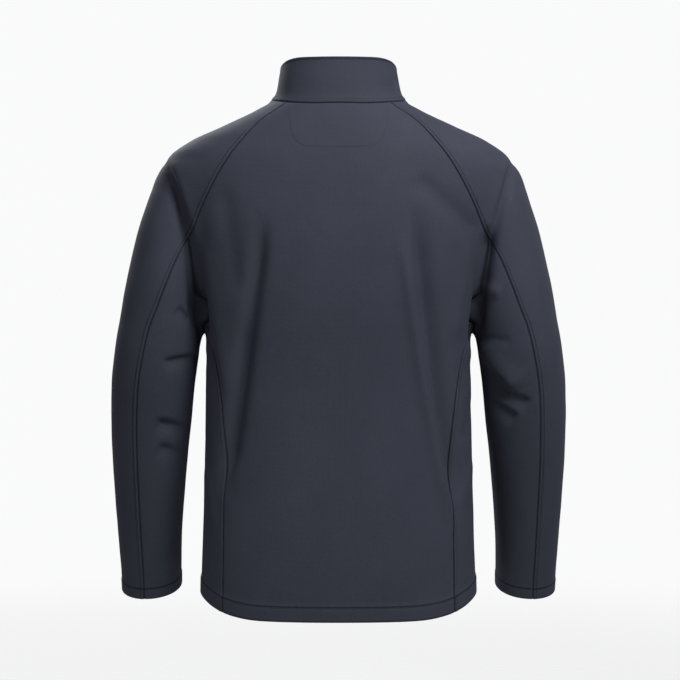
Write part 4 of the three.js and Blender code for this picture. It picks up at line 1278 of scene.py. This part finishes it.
def make_collar():
    left, right = SIDES["left"], SIDES["right"]
    foot = np.vstack([
        right["neck_front"][::-1], right["neck_shoulder"][::-1][1:], NECK_BACK[1:],
        left["neck_shoulder"][1:], left["neck_front"][1:],
    ])
    total = lengths(foot)[-1]
    inner = np.linspace(INNER_COLUMN, total - INNER_COLUMN, COLLAR_COLUMNS)
    foot = along(foot, np.concatenate([[0, END_COLUMN], inner, [total - END_COLUMN, total]]))
    points = collar_points(foot, np.concatenate([FOOT_ROWS, COLLAR_ROWS, TOP_ROWS]))
    normals = collar_normals(points)
    up = np.linalg.norm(np.diff(points, axis=0), axis=2).cumsum(0)
    from_foot = np.vstack([np.zeros((1, points.shape[1])), up])
    from_top = from_foot[-1] - from_foot
    ends = np.minimum(lengths(foot), total - lengths(foot))[None] + np.zeros_like(from_foot)
    lift = FOOT_RIDGE * fade(*FOOT_FROM, from_foot) * (1 - fade(*FOOT_TO, from_foot))
    lift -= TURN_DOWN * np.exp(-((from_foot / TURN_DOWN_RUN) ** 2))
    lift += TOP_RIDGE * (1 - fade(*TOP_FROM, from_top)) - TOP_DROP * np.exp(-((from_top / TOP_DROP_RUN) ** 2))
    for x, y, level, wide, tall, out in COLLAR_FOLDS:
        aside = np.hypot(points[:, :, 0] - x, points[:, :, 1] - y) / wide
        lift += out * np.exp(-(aside**2) - ((points[:, :, 2] - level) / tall) ** 2)
    lift += COLLAR_UNEVEN * unevenness(points.reshape(-1, 3)).reshape(lift.shape)
    worn = points + normals * lift[:, :, None]
    worn[0, :, 2] -= COLLAR_TUCK
    mesh, order = grid_mesh("collar", worn, lambda p: p * [1, 1, 0])
    # painted shade: a darker colour at the collar's foot seam, its top line and its ends, where the cloth
    # turns into grooves
    near = np.minimum(np.minimum(from_foot, np.abs(from_top - TOP_LINE)), ends)
    add_attribute(mesh, "seam_mm", near.ravel(), order)
    # the collar's stitch line gets the same painted shade and dent
    add_attribute(mesh, "thread_mm", np.abs(np.minimum(from_foot, ends) - STITCH_IN).ravel(), order)
    piece = put_in_scene("collar_cloth", mesh, (FACE, FLEECE))
    thicken(piece, COLLAR_CLOTH)
    declare("collar")
    return foot


COLLAR_FOOT = make_collar()

# %% [markdown]
# ## Stitching
# The seams are topstitched 5 mm beside their line, and the hems along their upper edge. Each stitch is a
# small ellipsoid of thread that lies along its line, 2.4 mm long every 3.2 mm. An icosphere of 20 faces
# is enough at that size, because there are thousands of them.

# %% Stitches
STITCH_LONG, STITCH_GAP, STITCH_THICK, THREAD_UP = 2.4, 0.8, 0.5, 0.08
STITCHED_RISE, COLLAR_RISE = 0.2, 0.25
COLLAR_TALL = 64


def sew(name, lines, lift_at, normal_at=normals_at):
    """Stitches along some lines, as one piece."""
    bm = bmesh.new()
    count = 0
    stitch = Matrix.Diagonal((STITCH_LONG * MM / 2, STITCH_THICK * MM / 2, STITCH_THICK * MM / 2, 1))
    for line in lines:
        total = lengths(line)[-1]
        pitch = STITCH_LONG + STITCH_GAP
        places = np.arange(pitch, total - pitch / 2, pitch)
        middle = along(line, places)
        run = along(line, places + 0.5) - along(line, places - 0.5)
        out = normal_at(middle)
        middle = middle + out * (lift_at(middle) + THREAD_UP)[:, None]
        for p, r, n in zip(middle, run, out):
            r = Vector(r).normalized()
            n = Vector(n)
            across = n.cross(r).normalized()
            turn = Matrix((r, across, r.cross(across))).transposed().to_4x4()
            place = Matrix.Translation(Vector(p) * MM) @ turn @ stitch
            bmesh.ops.create_icosphere(bm, subdivisions=1, radius=1, matrix=place)
            count += 1
    mesh = bpy.data.meshes.new(name)
    bm.to_mesh(mesh)
    bm.free()
    mesh.shade_smooth()
    put_in_scene(name, mesh, (THREAD,))
    print(name, count, "stitches")


def plain_lift(p):
    """Topstitching follows the folds, on the folded allowance."""
    return fold_lift(p) + unevenness(p) + STITCHED_RISE


def hemmed_lift(p):
    """A hem's or a cuff's stitching follows the folds and the turned-up edge."""
    on_body = body_gap(p) < sleeve_gap(p)
    return fold_lift(p) + unevenness(p) + np.where(on_body, hem_swell(p), cuff_swell(p))


def sew_seams():
    for name, lines in STITCHING.items():
        hemmed = name.startswith(("hem", "cuff"))
        sew("stitching_" + name, lines, hemmed_lift if hemmed else plain_lift)


def sew_collar():
    line = collar_points(COLLAR_FOOT[3:-3], [STITCH_IN / COLLAR_TALL])[0]

    def outwards(p):
        flat = p * [1, 1, 0]
        return flat / np.linalg.norm(flat, axis=1, keepdims=True)

    sew("stitching_collar", [line], lambda p: np.full(len(p), COLLAR_RISE), outwards)


sew_seams()
sew_collar()

# %% [markdown]
# ## Zip
# A moulded zip runs from the hem to the collar's top. Its teeth are little blocks of acetal that stand
# alternately on the two tapes, 2.9 mm apart on each, so a loop places one cube a tooth, and one bevel
# rounds them all.

# %% Teeth
TOOTH_PITCH, TOOTH_TALL, TOOTH_WIDE, TOOTH_DEEP = 2.9, 1.15, 3.8, 2.0
TOOTH_UNDER, TOOTH_ASIDE, TOOTH_BEVEL = 0.9, 1.0, 0.28
CHAIN_START, CHAIN_END = 11, 14
COLLAR_STEPS = 30


def zip_line():
    """The closed zip's middle line, up the fronts and the collar."""
    up = SIDES["left"]["front_edge"] * [0, 1, 1]
    column = collar_points(np.array([[ZIP_EDGE, *up[-1, 1:]]]), np.linspace(0, 1, COLLAR_STEPS))[:, 0]
    return np.vstack([up[:-1], column * [0, 1, 1]])


def make_teeth():
    line = zip_line()
    total = lengths(line)[-1]
    places = np.arange(CHAIN_START, total - CHAIN_END, TOOTH_PITCH / 2)
    middle = along(line, places)
    run = along(line, places + 1) - along(line, places - 1)
    bm = bmesh.new()
    for k, (p, r) in enumerate(zip(middle, run)):
        r = Vector(r).normalized()
        out = Vector((0, -r.z, r.y))
        side = 1 if k % 2 else -1
        p = Vector(p) - out * TOOTH_UNDER + Vector((side * TOOTH_ASIDE, 0, 0))
        turn = Matrix((Vector((1, 0, 0)), out, r)).transposed().to_4x4()
        size = Matrix.Diagonal((TOOTH_WIDE * MM, TOOTH_DEEP * MM, TOOTH_TALL * MM, 1))
        bmesh.ops.create_cube(bm, size=1, matrix=Matrix.Translation(p * MM) @ turn @ size)
    bmesh.ops.recalc_face_normals(bm, faces=bm.faces)
    bmesh.ops.bevel(
        bm, geom=bm.edges[:], offset=TOOTH_BEVEL * MM, offset_type="OFFSET", affect="EDGES", segments=1,
        profile=0.5, material=-1,
    )
    mesh = bpy.data.meshes.new("zip_teeth")
    bm.to_mesh(mesh)
    bm.free()
    piece = put_in_scene("zip_teeth_moulded", mesh, (ACETAL,))
    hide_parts("zip_teeth")
    print("teeth", len(places))


make_teeth()

# %% Finishes of the zip's solid parts
ZIP_FINISHES = {
    "zip_tape_left": TAPE, "zip_tape_right": TAPE, "zip_box": ACETAL,
    "zip_slider": ENAMEL, "zip_pull": ENAMEL,
}
for name, material in ZIP_FINISHES.items():
    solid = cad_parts[name].data
    solid.materials.clear()
    solid.materials.append(material)
print("finished", len(ZIP_FINISHES), "solid parts")
